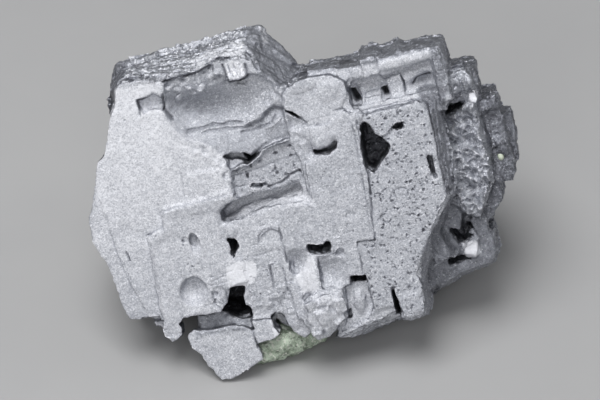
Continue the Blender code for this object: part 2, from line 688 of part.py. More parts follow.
def side_steps(lump):
    """The crystals that step back beyond the right-hand edge."""
    lump.stepped(
        "side_first",
        ([(31.0, 18.0), (39.6, 18.4), (39.5, 8.0), (39.8, 3.0), (40.0, -4.0), (36.0, -13.2),
          (30.0, -8.0)], -8.2),
        ([(31.0, 19.0), (41.4, 18.6), (41.2, 8.0), (41.4, 3.0), (41.2, -5.0), (36.6, -14.6),
          (29.0, -9.0)], -13.0),
        ([(31.0, 19.0), (41.8, 18.4), (41.6, 8.0), (41.8, 3.0), (41.6, -5.4), (36.8, -15.4),
          (29.0, -9.4)], -30.0),
    )
    lump.cube("side_first_top", (36.4, 17.4, -9.4), (6.4, 2.6, 4.4), tilt=(-6.0, 3.0, 3.0), taper=0.9)
    lump.cube("side_first_knob", (37.3, 17.6, -15.0), (4.2, 5.4, 8.0), tilt=(0.0, 0.0, 6.0), taper=0.9)
    lump.plate(
        "side_second",
        [(38.0, 10.4), (44.2, 11.0), (45.2, 3.0), (45.5, -5.4), (44.4, -7.2), (38.0, -6.8)],
        -12.8,
        -29.0,
        0.8,
    )
    lump.cube("side_second_top", (42.4, 10.0, -14.4), (5.2, 2.8, 7.0), tilt=(0.0, -4.0, 8.0), taper=0.88)
    lump.cube("side_third", (42.5, 1.6, -22.0), (9.4, 10.6, 9.6), tilt=(0.0, 0.0, -3.0), taper=0.95)
    lump.plate(
        "side_low",
        [(33.0, -6.0), (41.6, -6.4), (41.9, -10.8), (37.6, -15.2), (32.6, -14.2)],
        -13.8,
        -33.0,
        draft=0.6,
    )
    lump.stepped(
        "side_foot",
        ([(33.4, -16.8), (37.8, -17.4), (38.0, -21.6), (36.8, -23.8), (29.8, -24.8), (24.6, -26.8),
          (27.0, -20.6)], -11.6),
        ([(33.4, -16.4), (38.6, -17.0), (38.8, -22.2), (37.4, -24.8), (29.8, -26.4), (23.4, -28.8),
          (25.0, -20.6)], -15.6),
        ([(33.4, -16.4), (38.8, -17.0), (39.0, -22.4), (37.4, -25.6), (29.8, -28.4), (22.4, -31.0),
          (24.0, -20.6)], -33.5),
    )
    lump.cube("waist_lump", (26.0, -17.4, -8.6), (4.6, 7.0, 6.4), tilt=(8.0, -12.0, 24.0), taper=0.7)
    lump.cube("waist_facet", (33.2, -17.8, -11.8), (4.0, 3.6, 4.0), tilt=(-16.0, 14.0, 18.0), taper=0.7)


def body_core():
    """The inner mass of the lump, which every crystal grew on."""
    return loft([
        (
            [(-31.0, -15.0), (-20.0, -21.0), (-6.0, -27.0), (8.0, -28.4), (20.0, -28.2), (29.0, -23.0),
             (33.0, -10.0), (34.0, 8.0), (33.0, 20.0), (10.0, 22.0), (-20.0, 23.0), (-34.0, 16.0),
             (-37.0, 0.0)],
            -11.0,
        ),
        (
            [(-29.0, -20.0), (-20.0, -27.0), (-6.0, -33.0), (8.0, -33.6), (20.0, -32.0), (30.0, -27.4),
             (35.0, -14.0), (35.0, 4.0), (31.0, 14.0), (10.0, 17.0), (-18.0, 18.0), (-30.0, 12.0),
             (-33.0, -4.0)],
            -24.3,
        ),
        (
            [(-22.0, -24.0), (-16.0, -32.0), (-6.0, -36.0), (8.0, -37.0), (18.0, -35.6), (26.0, -31.0),
             (30.0, -18.0), (29.0, -4.0), (25.0, 3.0), (8.0, 7.0), (-12.0, 8.0), (-23.0, 2.0),
             (-26.0, -10.0)],
            -BODY_DEPTH,
        ),
    ])  # fmt: skip


# The blocks that step back from the face: name, centre, size, and the width and height of the hollow in the
# top and in the back of each, where it has one.
TERRACES = (
    ("rear_left", (-20.5, -5.5, -27.0), (22.0, 25.0, 14.4), None, (9.2, 9.0)),
    ("rear_left_upper", (-22.5, 15.2, -22.4), (19.4, 17.4, 16.0), (9.2, 8.0), (8.0, 7.6)),
    ("rear_spur", (-10.6, 22.6, -17.6), (13.0, 16.6, 12.2), (7.4, 5.4), None),
    ("rear_slab_left", (-27.4, 22.6, -13.6), (8.6, 14.6, 7.4), None, None),
    ("rear_slab_right", (-17.4, 26.6, -14.6), (11.6, 9.2, 6.6), None, (6.2, 4.4)),
    ("rear_middle", (0.6, 1.4, -32.0), (21.4, 19.4, 17.0), (9.2, 5.8), (9.0, 8.4)),
    ("rear_middle_upper", (4.0, 14.0, -22.0), (17.0, 14.2, 18.0), (9.0, 8.2), (8.0, 6.6)),
    ("rear_right", (21.6, -7.0, -32.2), (18.0, 21.6, 16.6), (8.0, 6.4), (8.8, 9.2)),
    ("rear_right_upper", (23.4, 12.6, -23.2), (19.0, 15.0, 17.4), (9.2, 8.4), (8.4, 7.0)),
    ("rear_low", (4.0, -16.5, -35.6), (24.0, 14.0, 12.6), None, (9.0, 7.6)),
    ("rear_corner", (32.6, 3.4, -26.4), (11.4, 15.4, 14.6), None, (6.0, 7.4)),
)
# Each step of a hollow: its share of the mouth and its depth. HOPPER_SHIFT moves each a little aside.
HOPPER_STEPS = ((1.0, 1.2), (0.7, 2.6), (0.42, 4.4))
HOPPER_SHIFT = 0.11
LEFT_SIDE = (
    (-40.6, 13.0, -12.0), (-42.6, 3.0, -12.6), (-41.6, -6.5, -11.6), (-40.4, -13.5, -12.8),
    (-35.4, 12.0, -18.4), (-36.2, 3.0, -20.5), (-35.4, -6.0, -17.6), (-33.6, -12.5, -21.0),
    (-33.2, -2.0, -25.4), (-31.4, -16.0, -16.4),
)  # fmt: skip


def hidden_body(lump):
    for name, centre, size, _, _ in TERRACES:
        lump.cube(name, centre, size, tilt=(1.5, -1.0, 1.0), taper=1.05)


def crust(lump):
    """Small crystals scattered over the tops and backs of the rear blocks, and along the left edge."""
    chance = random.Random(STEP_SEED)

    def small_crystal(name, place, across):
        size = [chance.uniform(*STEP_SIZE) for _ in range(3)]
        size[across] = 2.0 * chance.uniform(*STEP_RISE)
        tilt = [chance.uniform(-3.0, 3.0) for _ in range(3)]
        lump.cube(name, place, size, tilt)

    for name, centre, size, _, _ in TERRACES:
        u, v, w = centre
        for i, (side_u, side_w) in enumerate(((-0.42, 0.3), (0.4, -0.34), (0.1, 0.42))):
            place = (u + side_u * size[0], v + size[1] / 2.0, w + side_w * size[2])
            small_crystal(f"{name}_top_{i}", place, 1)
        for i, (side_u, side_v) in enumerate(((-0.4, -0.36), (0.42, 0.1), (-0.1, 0.42))):
            place = (u + side_u * size[0], v + side_v * size[1], w - size[2] / 2.0)
            small_crystal(f"{name}_back_{i}", place, 2)
    for i, (u, v, w) in enumerate(LEFT_SIDE):
        small_crystal(f"left_side_{i}", (u, v, w), 0)


def hopper(lump, name, mouth, width, height, turn):
    """A square hollow that narrows in steps, as skeletal growth leaves it."""
    aim = Euler([math.radians(angle) for angle in turn]).to_matrix()
    above = 3.0
    for i, (share, depth) in enumerate(HOPPER_STEPS):
        shape = bmesh.new()
        bmesh.ops.create_cube(shape, size=1.0)
        floor = [corner for corner in shape.verts if corner.co.z < 0]
        bmesh.ops.scale(shape, vec=Vector((0.92, 0.92, 1.0)), verts=floor)
        bmesh.ops.scale(shape, vec=Vector((width * share, height * share, depth + above)), verts=shape.verts)
        aside = Vector((HOPPER_SHIFT * i * width, 0.0, (above - depth) / 2.0))
        bmesh.ops.translate(shape, vec=aside, verts=shape.verts)
        bmesh.ops.rotate(shape, matrix=aim, verts=shape.verts)
        bmesh.ops.translate(shape, vec=Vector(mouth), verts=shape.verts)
        lump.keep(shape, f"{name}_{i}")


def hopper_hollows(lump):
    for name, (u, v, w), size, top, back in TERRACES:
        if top:
            hopper(lump, f"{name}_top_hollow", (u, v + size[1] / 2.0, w), *top, (-90.0, 0.0, 0.0))
        if back:
            hopper(lump, f"{name}_back_hollow", (u, v, w - size[2] / 2.0), *back, (0.0, 180.0, 0.0))
    hopper(lump, "side_top_hollow", (36.4, 18.9, -22.6), 6.0, 8.4, (-90.0, 0.0, 0.0))
    hopper(lump, "left_hollow", (-44.0, 0.5, -7.6), 6.2, 9.0, (0.0, -90.0, 0.0))
    hopper(lump, "right_hollow", (47.0, 1.4, -22.0), 5.0, 6.0, (0.0, 90.0, 0.0))


def surface_plane():
    """The surface that the lump lies on, as a solid that cuts away all below it."""
    shape = bmesh.new()
    bmesh.ops.create_cube(shape, size=1.0)
    bmesh.ops.scale(shape, vec=Vector((0.3, 0.3, 0.1)), verts=shape.verts)
    bmesh.ops.translate(shape, vec=Vector((0.0, 0.0, -0.05)), verts=shape.verts)
    mesh = bpy.data.meshes.new("surface_plane")
    shape.to_mesh(mesh)
    shape.free()
    plane = bpy.data.objects.new("surface_plane", mesh)
    bpy.context.scene.collection.objects.link(plane)
    return as_guide(plane)


def lumpy(centre, radii, facets, roughness, seed):
    """A rounded lump with an uneven surface."""
    chance = random.Random(seed)
    shape = bmesh.new()
    bmesh.ops.create_icosphere(shape, subdivisions=facets, radius=1.0)
    for corner in shape.verts:
        corner.co *= 1.0 + chance.uniform(-roughness, roughness)
    bmesh.ops.scale(shape, vec=Vector(radii), verts=shape.verts)
    bmesh.ops.translate(shape, vec=Vector(centre), verts=shape.verts)
    return shape


def rock_shape(extra):
    """The green rock behind the foot of the face, with its sides moved out by extra."""
    return lumpy((-15.2, -30.9, -10.4), [r + extra for r in (14.6, 4.3, 8.2)], 3, 0.05, STEP_SEED + 1)


def grain_shape(extra):
    """The pale grain that sits on the second step of the right-hand side."""
    return lumpy((43.0, -1.7, -12.6), [r + extra for r in (0.6, 0.7, 0.6)], 1, 0.08, STEP_SEED + 2)


def join_or_cut(made, name, operation, other=None, collection=None):
    step = made.modifiers.new(name, "BOOLEAN")
    step.operation = operation
    step.solver = "EXACT"
    if collection is None:
        step.object = other
    else:
        step.operand_type = "COLLECTION"
        step.collection = collection


def build():
    clear_scene()
    axes = crystal_axes()
    scene = bpy.context.scene.collection
    lump = Lump(axes)
    lump.begin("crystals", "UNION")
    left_block(lump)
    middle_block(lump)
    right_block(lump)
    upper_terrace(lump)
    side_steps(lump)
    hidden_body(lump)
    crust(lump)
    foot_root(lump)
    lump.begin("hollows", "DIFFERENCE")
    left_hollows(lump)
    broken_top(lump)
    middle_hollows(lump)
    terrace_hollows(lump)
    right_hollows(lump)
    foot_hollows(lump)
    hopper_hollows(lump)
    lump.begin("insets", "UNION")
    broken_top_crystals(lump)
    terrace_insets(lump)
    foot_crystals(lump)

    galena = object_from(body_core(), "galena", scene, axes)
    galena.data.materials.append(finish_of("galena", (0.42, 0.44, 0.48), 0.45, 0.6))
    for name, operation, group in lump.stages:
        join_or_cut(galena, name, operation, collection=group)
    plane = surface_plane()
    for name, shape in (("rock_socket", rock_shape(ROCK_GAP)), ("grain_socket", grain_shape(ROCK_GAP))):
        join_or_cut(galena, name, "DIFFERENCE", other=as_guide(object_from(shape, name, scene, axes)))
    join_or_cut(galena, "flat_base", "DIFFERENCE", other=plane)

    rock = object_from(rock_shape(0.0), "green_matrix", scene, axes)
    rock.data.materials.append(finish_of("green_matrix", (0.23, 0.30, 0.22), 0.85, 0.0))
    join_or_cut(rock, "flat_base", "DIFFERENCE", other=plane)

    grain = object_from(grain_shape(0.0), "pale_grain", scene, axes)
    grain.data.materials.append(finish_of("pale_grain", (0.62, 0.70, 0.58), 0.5, 0.0))


build()
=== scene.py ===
"""The looks of a lump of skeletal galena: its broad matt face, its dark cleaved sides and its green rock."""

import math
import random
from contextlib import contextmanager

import bpy
import numpy as np
from mathutils import Matrix, Vector


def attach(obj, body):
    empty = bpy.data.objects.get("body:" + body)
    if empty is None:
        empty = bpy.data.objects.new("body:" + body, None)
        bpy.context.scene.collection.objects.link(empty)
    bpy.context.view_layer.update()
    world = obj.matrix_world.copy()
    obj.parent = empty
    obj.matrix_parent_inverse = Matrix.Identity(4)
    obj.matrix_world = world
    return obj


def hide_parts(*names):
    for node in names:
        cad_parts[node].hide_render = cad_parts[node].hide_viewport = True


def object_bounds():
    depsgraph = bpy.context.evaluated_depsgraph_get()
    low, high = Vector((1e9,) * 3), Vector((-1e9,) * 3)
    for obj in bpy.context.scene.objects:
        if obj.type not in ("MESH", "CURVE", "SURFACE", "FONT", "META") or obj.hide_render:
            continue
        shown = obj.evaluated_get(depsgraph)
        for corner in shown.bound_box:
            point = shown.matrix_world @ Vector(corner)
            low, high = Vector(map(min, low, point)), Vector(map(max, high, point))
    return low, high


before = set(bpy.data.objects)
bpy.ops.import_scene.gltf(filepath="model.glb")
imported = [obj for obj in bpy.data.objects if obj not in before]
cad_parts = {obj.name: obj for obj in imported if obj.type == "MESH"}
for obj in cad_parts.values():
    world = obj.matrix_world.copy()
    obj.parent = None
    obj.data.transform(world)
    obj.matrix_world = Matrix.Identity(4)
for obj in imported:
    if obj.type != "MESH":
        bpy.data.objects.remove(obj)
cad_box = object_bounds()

# The crystal's own frame, in millimetres: u along the broad face to the right, v up it and w out of it.
# LEAN is how far the face's normal stands above the horizon; TURN and ROLL are the way the lump lies.
MM = 0.001
LEAN = 29.0
TURN = -3.5
ROLL = 14.0
FACE_CENTRE = Vector((-1.61, -12.68, 35.6))
CRYSTAL = (
    Matrix.Translation(FACE_CENTRE * MM)
    @ Matrix.Rotation(math.radians(TURN), 4, "Z")
    @ Matrix.Rotation(math.radians(90.0 - LEAN), 4, "X")
    @ Matrix.Rotation(math.radians(ROLL), 4, "Z")
    @ Matrix.Scale(MM, 4)
)

# How fine the surfaces are, in millimetres, and how many triangles a piece keeps. A loose part with fewer
# faces than the smallest is a speck.
GRAIN = 0.25
ROCK_GRAIN = 0.3
MOST_TRIANGLES = 196000
SMALLEST_PART = 100
SEED = 5

# The front plates end and the rest of the group begins this far behind the face.
PLATE_DEPTH = -8.0


# Modelling

def only(piece):
    """Makes the piece the one that the next tools act on."""
    bpy.ops.object.select_all(action="DESELECT")
    piece.select_set(True)
    bpy.context.view_layer.objects.active = piece


def placed(name, data):
    """A new object in the scene."""
    made = bpy.data.objects.new(name, data)
    bpy.context.scene.collection.objects.link(made)
    return made


@contextmanager
def edit_mode(piece):
    """Edit mode on one piece, with all of it selected."""
    only(piece)
    bpy.ops.object.mode_set(mode="EDIT")
    bpy.ops.mesh.select_all(action="SELECT")
    yield
    bpy.ops.object.mode_set(mode="OBJECT")


def finished_with(piece, kind, **settings):
    """Adds a modifier, sets it and applies it."""
    only(piece)
    step = piece.modifiers.new(kind.lower(), kind)
    for name, value in settings.items():
        setattr(step, name, value)
    bpy.ops.object.modifier_apply(modifier=step.name)


def node_copy(node, name):
    """A copy of a plain solid with its corners merged, turned into the crystal's frame."""
    piece = placed(name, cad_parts[node].data.copy())
    piece.data.materials.clear()
    with edit_mode(piece):
        bpy.ops.mesh.remove_doubles(threshold=1e-6)
    piece.data.transform(CRYSTAL.inverted())
    return piece


def stretched(size):
    """The primitive that was just added, at its own size."""
    made = bpy.context.active_object
    made.scale = size
    bpy.ops.object.transform_apply(location=True, rotation=True, scale=True)
    return made


def small_ball(centre, radii, turn):
    """A rounded growth."""
    bpy.ops.object.select_all(action="DESELECT")
    turns = (0.0, 0.0, math.radians(turn))
    bpy.ops.mesh.primitive_ico_sphere_add(subdivisions=3, location=centre, rotation=turns)
    return stretched(radii)


def small_cube(centre, size, turns):
    """A crystal of galena's habit, with its corners cut off."""
    bpy.ops.object.select_all(action="DESELECT")
    bpy.ops.mesh.primitive_cube_add(size=1.0, location=centre, rotation=[math.radians(a) for a in turns])
    cube = stretched(size)
    with edit_mode(cube):
        bpy.ops.mesh.bevel(offset=CUT_CORNER * min(size), segments=1, affect="VERTICES")
    return cube


def prism(outline, face, root):
    """A plate or a cutter: the outline at the face, extruded to its root."""
    bpy.ops.object.select_all(action="DESELECT")
    bpy.ops.mesh.primitive_circle_add(vertices=len(outline), radius=1.0, fill_type="NGON")
    plate = bpy.context.active_object
    for corner, (u, v) in zip(plate.data.vertices, outline):
        corner.co = (u, v, face)
    with edit_mode(plate):
        bpy.ops.mesh.extrude_region_move(TRANSFORM_OT_translate={"value": (0.0, 0.0, root - face)})
        bpy.ops.mesh.select_all(action="SELECT")
        bpy.ops.mesh.normals_make_consistent(inside=False)
    return plate


def joined(pieces):
    """One object of several, which is the first of them."""
    only(pieces[0])
    for piece in pieces:
        piece.select_set(True)
    bpy.ops.object.join()
    return pieces[0]


def cut_from(piece, cutter):
    """Cuts the cutter from the piece, and removes it."""
    finished_with(piece, "BOOLEAN", operation="DIFFERENCE", object=cutter)
    bpy.data.objects.remove(cutter, do_unlink=True)


def thin_out(piece, most):
    """Merges the flat stretches until the piece has no more triangles than it may."""
    piece.data.calc_loop_triangles()
    count = len(piece.data.loop_triangles)
    if count > most:
        finished_with(piece, "DECIMATE", ratio=most / count, use_collapse_triangulate=True)


def parted(piece, name, keep_front):
    """The part of a piece in front of the plates' root, or the part behind it."""
    half = placed(name, piece.data.copy())
    with edit_mode(half):
        bpy.ops.mesh.bisect(
            plane_co=(0.0, 0.0, PLATE_DEPTH),
            plane_no=(0.0, 0.0, 1.0),
            use_fill=True,
            clear_inner=keep_front,
            clear_outer=not keep_front,
        )
    return half


def without_specks(piece):
    """Takes off the specks that parting leaves loose, and closes the small holes that are left."""
    name = piece.name
    with edit_mode(piece):
        bpy.ops.mesh.separate(type="LOOSE")
    parts = sorted(bpy.context.selected_objects, key=lambda part: -len(part.data.polygons))
    kept = [part for part in parts if len(part.data.polygons) >= SMALLEST_PART]
    for part in parts[len(kept):]:
        bpy.data.objects.remove(part, do_unlink=True)
    whole = joined(kept)
    whole.name = name
    with edit_mode(whole):
        bpy.ops.mesh.select_mode(type="EDGE")
        bpy.ops.mesh.select_all(action="DESELECT")
        bpy.ops.mesh.select_non_manifold(use_wire=False, use_multi_face=False, use_non_contiguous=False)
        bpy.ops.mesh.fill_holes(sides=0)
        bpy.ops.mesh.select_mode(type="VERT")
    return whole


# Places, chances and masks

def points_of(piece, kind="co"):
    """The points of a piece, or the way that each faces, in rows."""
    rows = np.empty(len(piece.data.vertices) * 3, np.float32)
    piece.data.vertices.foreach_get(kind, rows)
    return rows.reshape(-1, 3).astype(np.float64)


def put_points(piece, rows):
    """Moves the points of a piece to new places, in rows."""
    piece.data.vertices.foreach_set("co", rows.astype(np.float32).ravel())
    piece.data.update()


def height_of(places):
    """How high points are above the surface that the lump lies on, in millimetres."""
    turn = np.array(CRYSTAL.to_3x3()) / MM
    return places @ turn[2] + FACE_CENTRE.z


def rise(value, low, high):
    """0 below low, 1 above high and smooth between them."""
    share = np.clip((value - low) / (high - low), 0.0, 1.0)
    return share * share * (3.0 - 2.0 * share)


def chance(*cells):
    """A number from 0 to 1 for each cell, the same each time for the same cell."""
    mixed = np.uint32(97)
    for factor, cell in zip((73856093, 19349663, 83492791, 2654435761), cells):
        mixed = mixed ^ np.asarray(cell).astype(np.int64).astype(np.uint32) * np.uint32(factor)
    mixed = (mixed ^ mixed >> np.uint32(15)) * np.uint32(739982445)
    mixed = (mixed ^ mixed >> np.uint32(12)) * np.uint32(695872825)
    return (mixed ^ mixed >> np.uint32(15)) / 4294967295.0


def noise(places, size, seed, octaves=2):
    """Smooth noise from 0 to 1, whose lumps are about size across; size is one number or three."""
    total, whole, strength = 0.0, 0.0, 1.0
    for octave in range(octaves):
        spot = places * (2.0**octave / np.array(size))
        cell = np.floor(spot)
        part = spot - cell
        part = part * part * (3.0 - 2.0 * part)
        for i, j, k in np.ndindex(2, 2, 2):
            share = np.abs(1 - i - part[:, 0]) * np.abs(1 - j - part[:, 1]) * np.abs(1 - k - part[:, 2])
            rows = (cell[:, 0] + i, cell[:, 1] + j, cell[:, 2] + k)
            total = total + strength * share * chance(*rows, np.array(seed + octave))
        whole += strength
        strength *= 0.5
    return total / whole


def steps(a, b, length, height, seed):
    """Rows of small blocks, each with its own height and tilt, from about -0.5 to 0.5."""
    row = np.floor(b / height + 0.35 * np.sin(b / height * 0.9 + seed))
    along = a / length + 7.0 * chance(row, seed * np.ones_like(row))
    column = np.floor(along)
    own = chance(row, column, seed + 1 + 0 * row) - 0.5
    lean = chance(row, column, seed + 2 + 0 * row) - 0.5
    return own + 0.6 * lean * (along - column - 0.5)


def from_line(u, v, line, sided=False):
    """The distance of each point from a line of straight stretches; if sided, less than 0 on its right."""
    nearest = np.full(len(u), 1e9)
    side = np.ones(len(u))
    for (u0, v0), (u1, v1) in zip(line, line[1:]):
        du, dv = u1 - u0, v1 - v0
        share = np.clip(((u - u0) * du + (v - v0) * dv) / max(1e-9, du * du + dv * dv), 0.0, 1.0)
        far = np.hypot(u - u0 - share * du, v - v0 - share * dv)
        if sided:
            side = np.where(far < nearest, np.where(du * (v - v0) > dv * (u - u0), 1.0, -1.0), side)
        nearest = np.minimum(nearest, far)
    return nearest * side


def is_inside(u, v, outline):
    """Whether points on the face are inside an outline."""
    odd = np.zeros(np.shape(u), bool)
    for (u0, v0), (u1, v1) in zip(outline, outline[1:] + outline[:1]):
        if v0 != v1:
            odd ^= ((v0 > v) != (v1 > v)) & (u < u0 + (v - v0) * (u1 - u0) / (v1 - v0))
    return odd


def over(places, outline, deepest=-math.inf):
    """Whether points are inside an outline on the face, and no deeper behind it than given."""
    return is_inside(places[:, 0], places[:, 1], outline) & (places[:, 2] > deepest)


def rim_of(outline):
    """The line all the way round an outline."""
    return outline + outline[:1]


def strewn(outline, count, radii, seed):
    """Spots strewn over an outline on the face, most of them small: u, v and radius."""
    draw = random.Random(seed)
    (left, bottom), (right, top) = np.min(outline, 0), np.max(outline, 0)
    spots = []
    while len(spots) < count:
        u, v = draw.uniform(left, right), draw.uniform(bottom, top)
        if is_inside(u, v, outline):
            spots.append((u, v, radii[0] + (radii[1] - radii[0]) * draw.random() ** 2.5))
    return spots


def arc(centre, reach, first, last, points=9):
    """A line along part of an oval, its angles from the right and upwards."""
    angles = np.radians(np.linspace(first, last, points))
    return [(centre[0] + reach[0] * math.cos(a), centre[1] + reach[1] * math.sin(a)) for a in angles]


# How far behind the face its finish can reach, and how far its marks usually reach, in millimetres.
FINISH_DEPTH = -19.0
MARK_DEPTH = -12.0


class Face:
    """The front of a piece: where its points are, how far each is moved out of it, and the shade and dirt
    painted on it.
    """

    def __init__(self, piece):
        self.piece = piece
        self.all_places = points_of(piece)
        facing = points_of(piece, "normal")
        self.spots = np.flatnonzero((self.all_places[:, 2] > FINISH_DEPTH) & (facing[:, 2] > -0.3))
        places = self.all_places[self.spots]
        self.out = facing[self.spots, 2]
        self.u = places[:, 0] + 0.55 * (noise(places, 1.6, SEED) - 0.5)
        self.v = places[:, 1] + 0.55 * (noise(places, 1.6, SEED + 9) - 0.5)
        self.w = places[:, 2]
        self.places = places
        self.lift = np.zeros(len(places))
        self.shade_and_dirt = np.zeros(len(places))
        self.by_u = np.argsort(self.u)
        self.sorted_u = self.u[self.by_u]

    def near(self, left, right, bottom, top, deepest=MARK_DEPTH):
        """The points in a box on the face."""
        first, last = np.searchsorted(self.sorted_u, (left, right))
        chosen = self.by_u[first:last]
        keep = (self.v[chosen] > bottom) & (self.v[chosen] < top) & (self.w[chosen] > deepest)
        return chosen[keep]

    def inside(self, outline, edge, deepest=MARK_DEPTH):
        """The points round an outline, and how far inside it each is: 0 outside to 1 inside."""
        (left, bottom), (right, top) = np.min(outline, 0) - edge, np.max(outline, 0) + edge
        chosen = self.near(left, right, bottom, top, deepest)
        u, v = self.u[chosen], self.v[chosen]
        far = from_line(u, v, rim_of(outline))
        return chosen, rise(np.where(is_inside(u, v, outline), far, -far), -edge, edge)

    def along(self, line, width):
        """The points near a line, and how near each is: 1 on it to 0 at its width."""
        (left, bottom), (right, top) = np.min(line, 0) - width, np.max(line, 0) + width
        chosen = self.near(left, right, bottom, top)
        return chosen, 1.0 - rise(from_line(self.u[chosen], self.v[chosen], line), 0.15 * width, width)

    def oval(self, centre, reach, turn):
        """The points round an oval, and how far across and up it each is, in parts of its reach."""
        most = max(reach)
        chosen = self.near(centre[0] - most, centre[0] + most, centre[1] - most, centre[1] + most)
        du, dv = self.u[chosen] - centre[0], self.v[chosen] - centre[1]
        cosine, sine = math.cos(math.radians(turn)), math.sin(math.radians(turn))
        return chosen, (du * cosine + dv * sine) / reach[0], (dv * cosine - du * sine) / reach[1]

    def add_shade_and_dirt(self, chosen, amount):
        """Painted shade and dirt on the chosen points, where there isn't more of it already."""
        self.shade_and_dirt[chosen] = np.maximum(self.shade_and_dirt[chosen], amount)

    def sink(self, outline, depth, edge):
        """A sunk place, or a raised one if its depth is below 0, with a little painted shade along its rim.
        """
        chosen, mask = self.inside(outline, edge)
        self.lift[chosen] -= depth * mask
        rim, near = self.along(rim_of(outline), 0.3)
        # Painted shade along the rim.
        self.add_shade_and_dirt(rim, 0.12 * near * min(1.0, 2.0 * abs(depth)))

    def crack(self, line, width, depth, shade_and_dirt):
        """A crack that comes and goes along its line, with painted shade in it."""
        chosen, near = self.along(line, width)
        broken = 0.55 + 0.9 * (noise(self.places[chosen], 2.2, SEED + 30, 1) - 0.3)
        near = near * np.clip(broken, 0.0, 1.0)
        self.lift[chosen] -= depth * near
        # Painted shade in the crack.
        self.add_shade_and_dirt(chosen, 0.8 * shade_and_dirt * near)

    def scoop(self, centre, reach, depth, turn):
        """A rounded hollow with an upright wall at its top, which fades out at its foot; shade is painted
        along its rim below that wall.
        """
        chosen, across, up = self.oval(centre, reach, turn)
        far = np.hypot(across, up)
        self.lift[chosen] -= depth * (1.0 - rise(far, 0.84, 1.0)) * (0.5 + 0.5 * np.clip(up, -1.0, 1.0))
        # Painted shade below the upright top wall.
        self.add_shade_and_dirt(chosen, 0.3 * (1.0 - rise(np.abs(far - 0.9), 0.0, 0.14)) * rise(up, -0.1, 0.6))

    def knob(self, centre, reach, height, turn):
        """A low rounded rise."""
        chosen, across, up = self.oval(centre, reach, turn)
        self.lift[chosen] += height * np.sqrt(np.clip(1.0 - across**2 - up**2, 0.0, 1.0))

    def pits(self, spots):
        """Small pits, longer one way than the other, with a faint raised rim and painted shade inside; the
        smallest are the palest.
        """
        for number, (u, v, radius) in enumerate(spots):
            reach = 1.7 * radius
            chosen = self.near(u - reach, u + reach, v - reach, v + reach, -4.0)
            wide = 0.75 + 0.5 * ((number * 0.618) % 1.0)
            far = np.hypot((self.u[chosen] - u) * wide, (self.v[chosen] - v) / wide) / radius
            hollow = np.sqrt(np.clip(1.0 - far * far, 0.0, 1.0))
            self.lift[chosen] -= 0.9 * radius * hollow
            self.lift[chosen] += 0.22 * radius * (1.0 - rise(np.abs(far - 1.2), 0.0, 0.4))
            # Painted shade inside the pit.
            self.add_shade_and_dirt(chosen, min(0.85, 0.15 + 1.3 * radius) * rise(hollow, 0.3, 1.0))

    def step(self, line, height, reach):
        """A low step along a line: the ground to its left is raised, and slopes away over its reach."""
        (left, bottom), (right, top) = np.min(line, 0) - reach, np.max(line, 0) + reach
        chosen = self.near(left, right, bottom, top)
        far = from_line(self.u[chosen], self.v[chosen], line, sided=True)
        self.lift[chosen] += height * rise(far, -0.12, 0.12) * (1.0 - rise(far, 0.2, reach))

    def apply(self):
        """Moves the points."""
        self.all_places[self.spots, 2] += self.lift
        put_points(self.piece, self.all_places)


# The face's stretches

RIGHT_PANEL = [
    (15.6, 15.0), (28.2, 15.2), (29.9, 11.5), (30.0, -5.2), (26.0, -11.0), (22.8, -16.6), (20.8, -19.0),
    (20.6, -28.6), (18.0, -29.4), (16.0, -28.2), (14.6, -22.0), (14.4, -26.0), (10.2, -26.0), (9.9, -11.6),
    (13.9, -11.8), (15.2, 2.0),
]
CENTRE_PANEL = [
    (3.0, 8.0), (10.2, 9.6), (10.4, 15.0), (15.0, 15.0), (14.8, 5.0), (14.4, -2.0), (13.4, -11.0),
    (9.6, -11.0), (9.6, -18.0), (6.6, -18.0), (5.0, -13.0), (-5.0, -12.4), (-4.8, -1.4), (2.8, -1.4),
]
SUNK_PANEL = [(-13.6, 9.2), (-9.0, 9.6), (-4.7, 12.0), (1.2, 12.4), (1.6, 4.2), (-4.0, 3.2), (-13.4, 3.2)]
LEFT_PANEL = [
    (-33.0, 31.0), (-22.8, 30.6), (-23.4, 24.0), (-21.6, 19.0), (-14.0, 18.0), (-13.8, 4.4), (-29.0, 4.0),
    (-29.4, 0.0), (-33.0, -1.0), (-34.2, -19.0), (-41.0, -17.6), (-45.0, 0.0), (-40.0, 16.4), (-35.6, 26.0),
]
PANEL_END = [(-23.6, 14.5), (-14.0, 12.0), (-13.8, 4.4), (-23.8, 4.2)]
LOWER_PANEL = [
    (-29.0, 4.0), (-14.0, 4.6), (-17.0, 1.0), (-17.4, -5.0), (-16.6, -15.0), (-19.4, -16.0), (-21.6, -20.0),
    (-34.0, -19.2), (-33.0, -1.0), (-29.4, 0.0),
]
FOOT_PANEL = [
    (-15.0, -9.0), (-6.4, -10.0), (-6.4, -19.0), (-5.0, -24.0), (-9.0, -22.8), (-15.4, -22.8),
]
BOWL = [
    (-23.0, 27.4), (-23.6, 24.8), (-21.8, 20.4), (-20.2, 18.8), (-15.0, 18.4), (-6.0, 17.2), (0.2, 20.4),
    (0.2, 24.2), (-2.8, 28.8), (-5.0, 27.2), (-9.6, 27.8), (-15.0, 26.0),
]
LONG_RECESS = [
    (-16.8, 0.8), (-12.2, 2.8), (-5.4, 3.0), (1.0, 4.2), (2.7, -1.2), (-5.8, -0.9), (-16.4, -1.2),
]
TERRACE_FLOOR = [(15.2, 22.2), (33.0, 23.2), (32.8, 15.6), (14.6, 15.4)]
TERRACE_BAND = [(17.0, 24.8), (34.4, 25.2), (34.6, 23.5), (18.6, 22.5)]
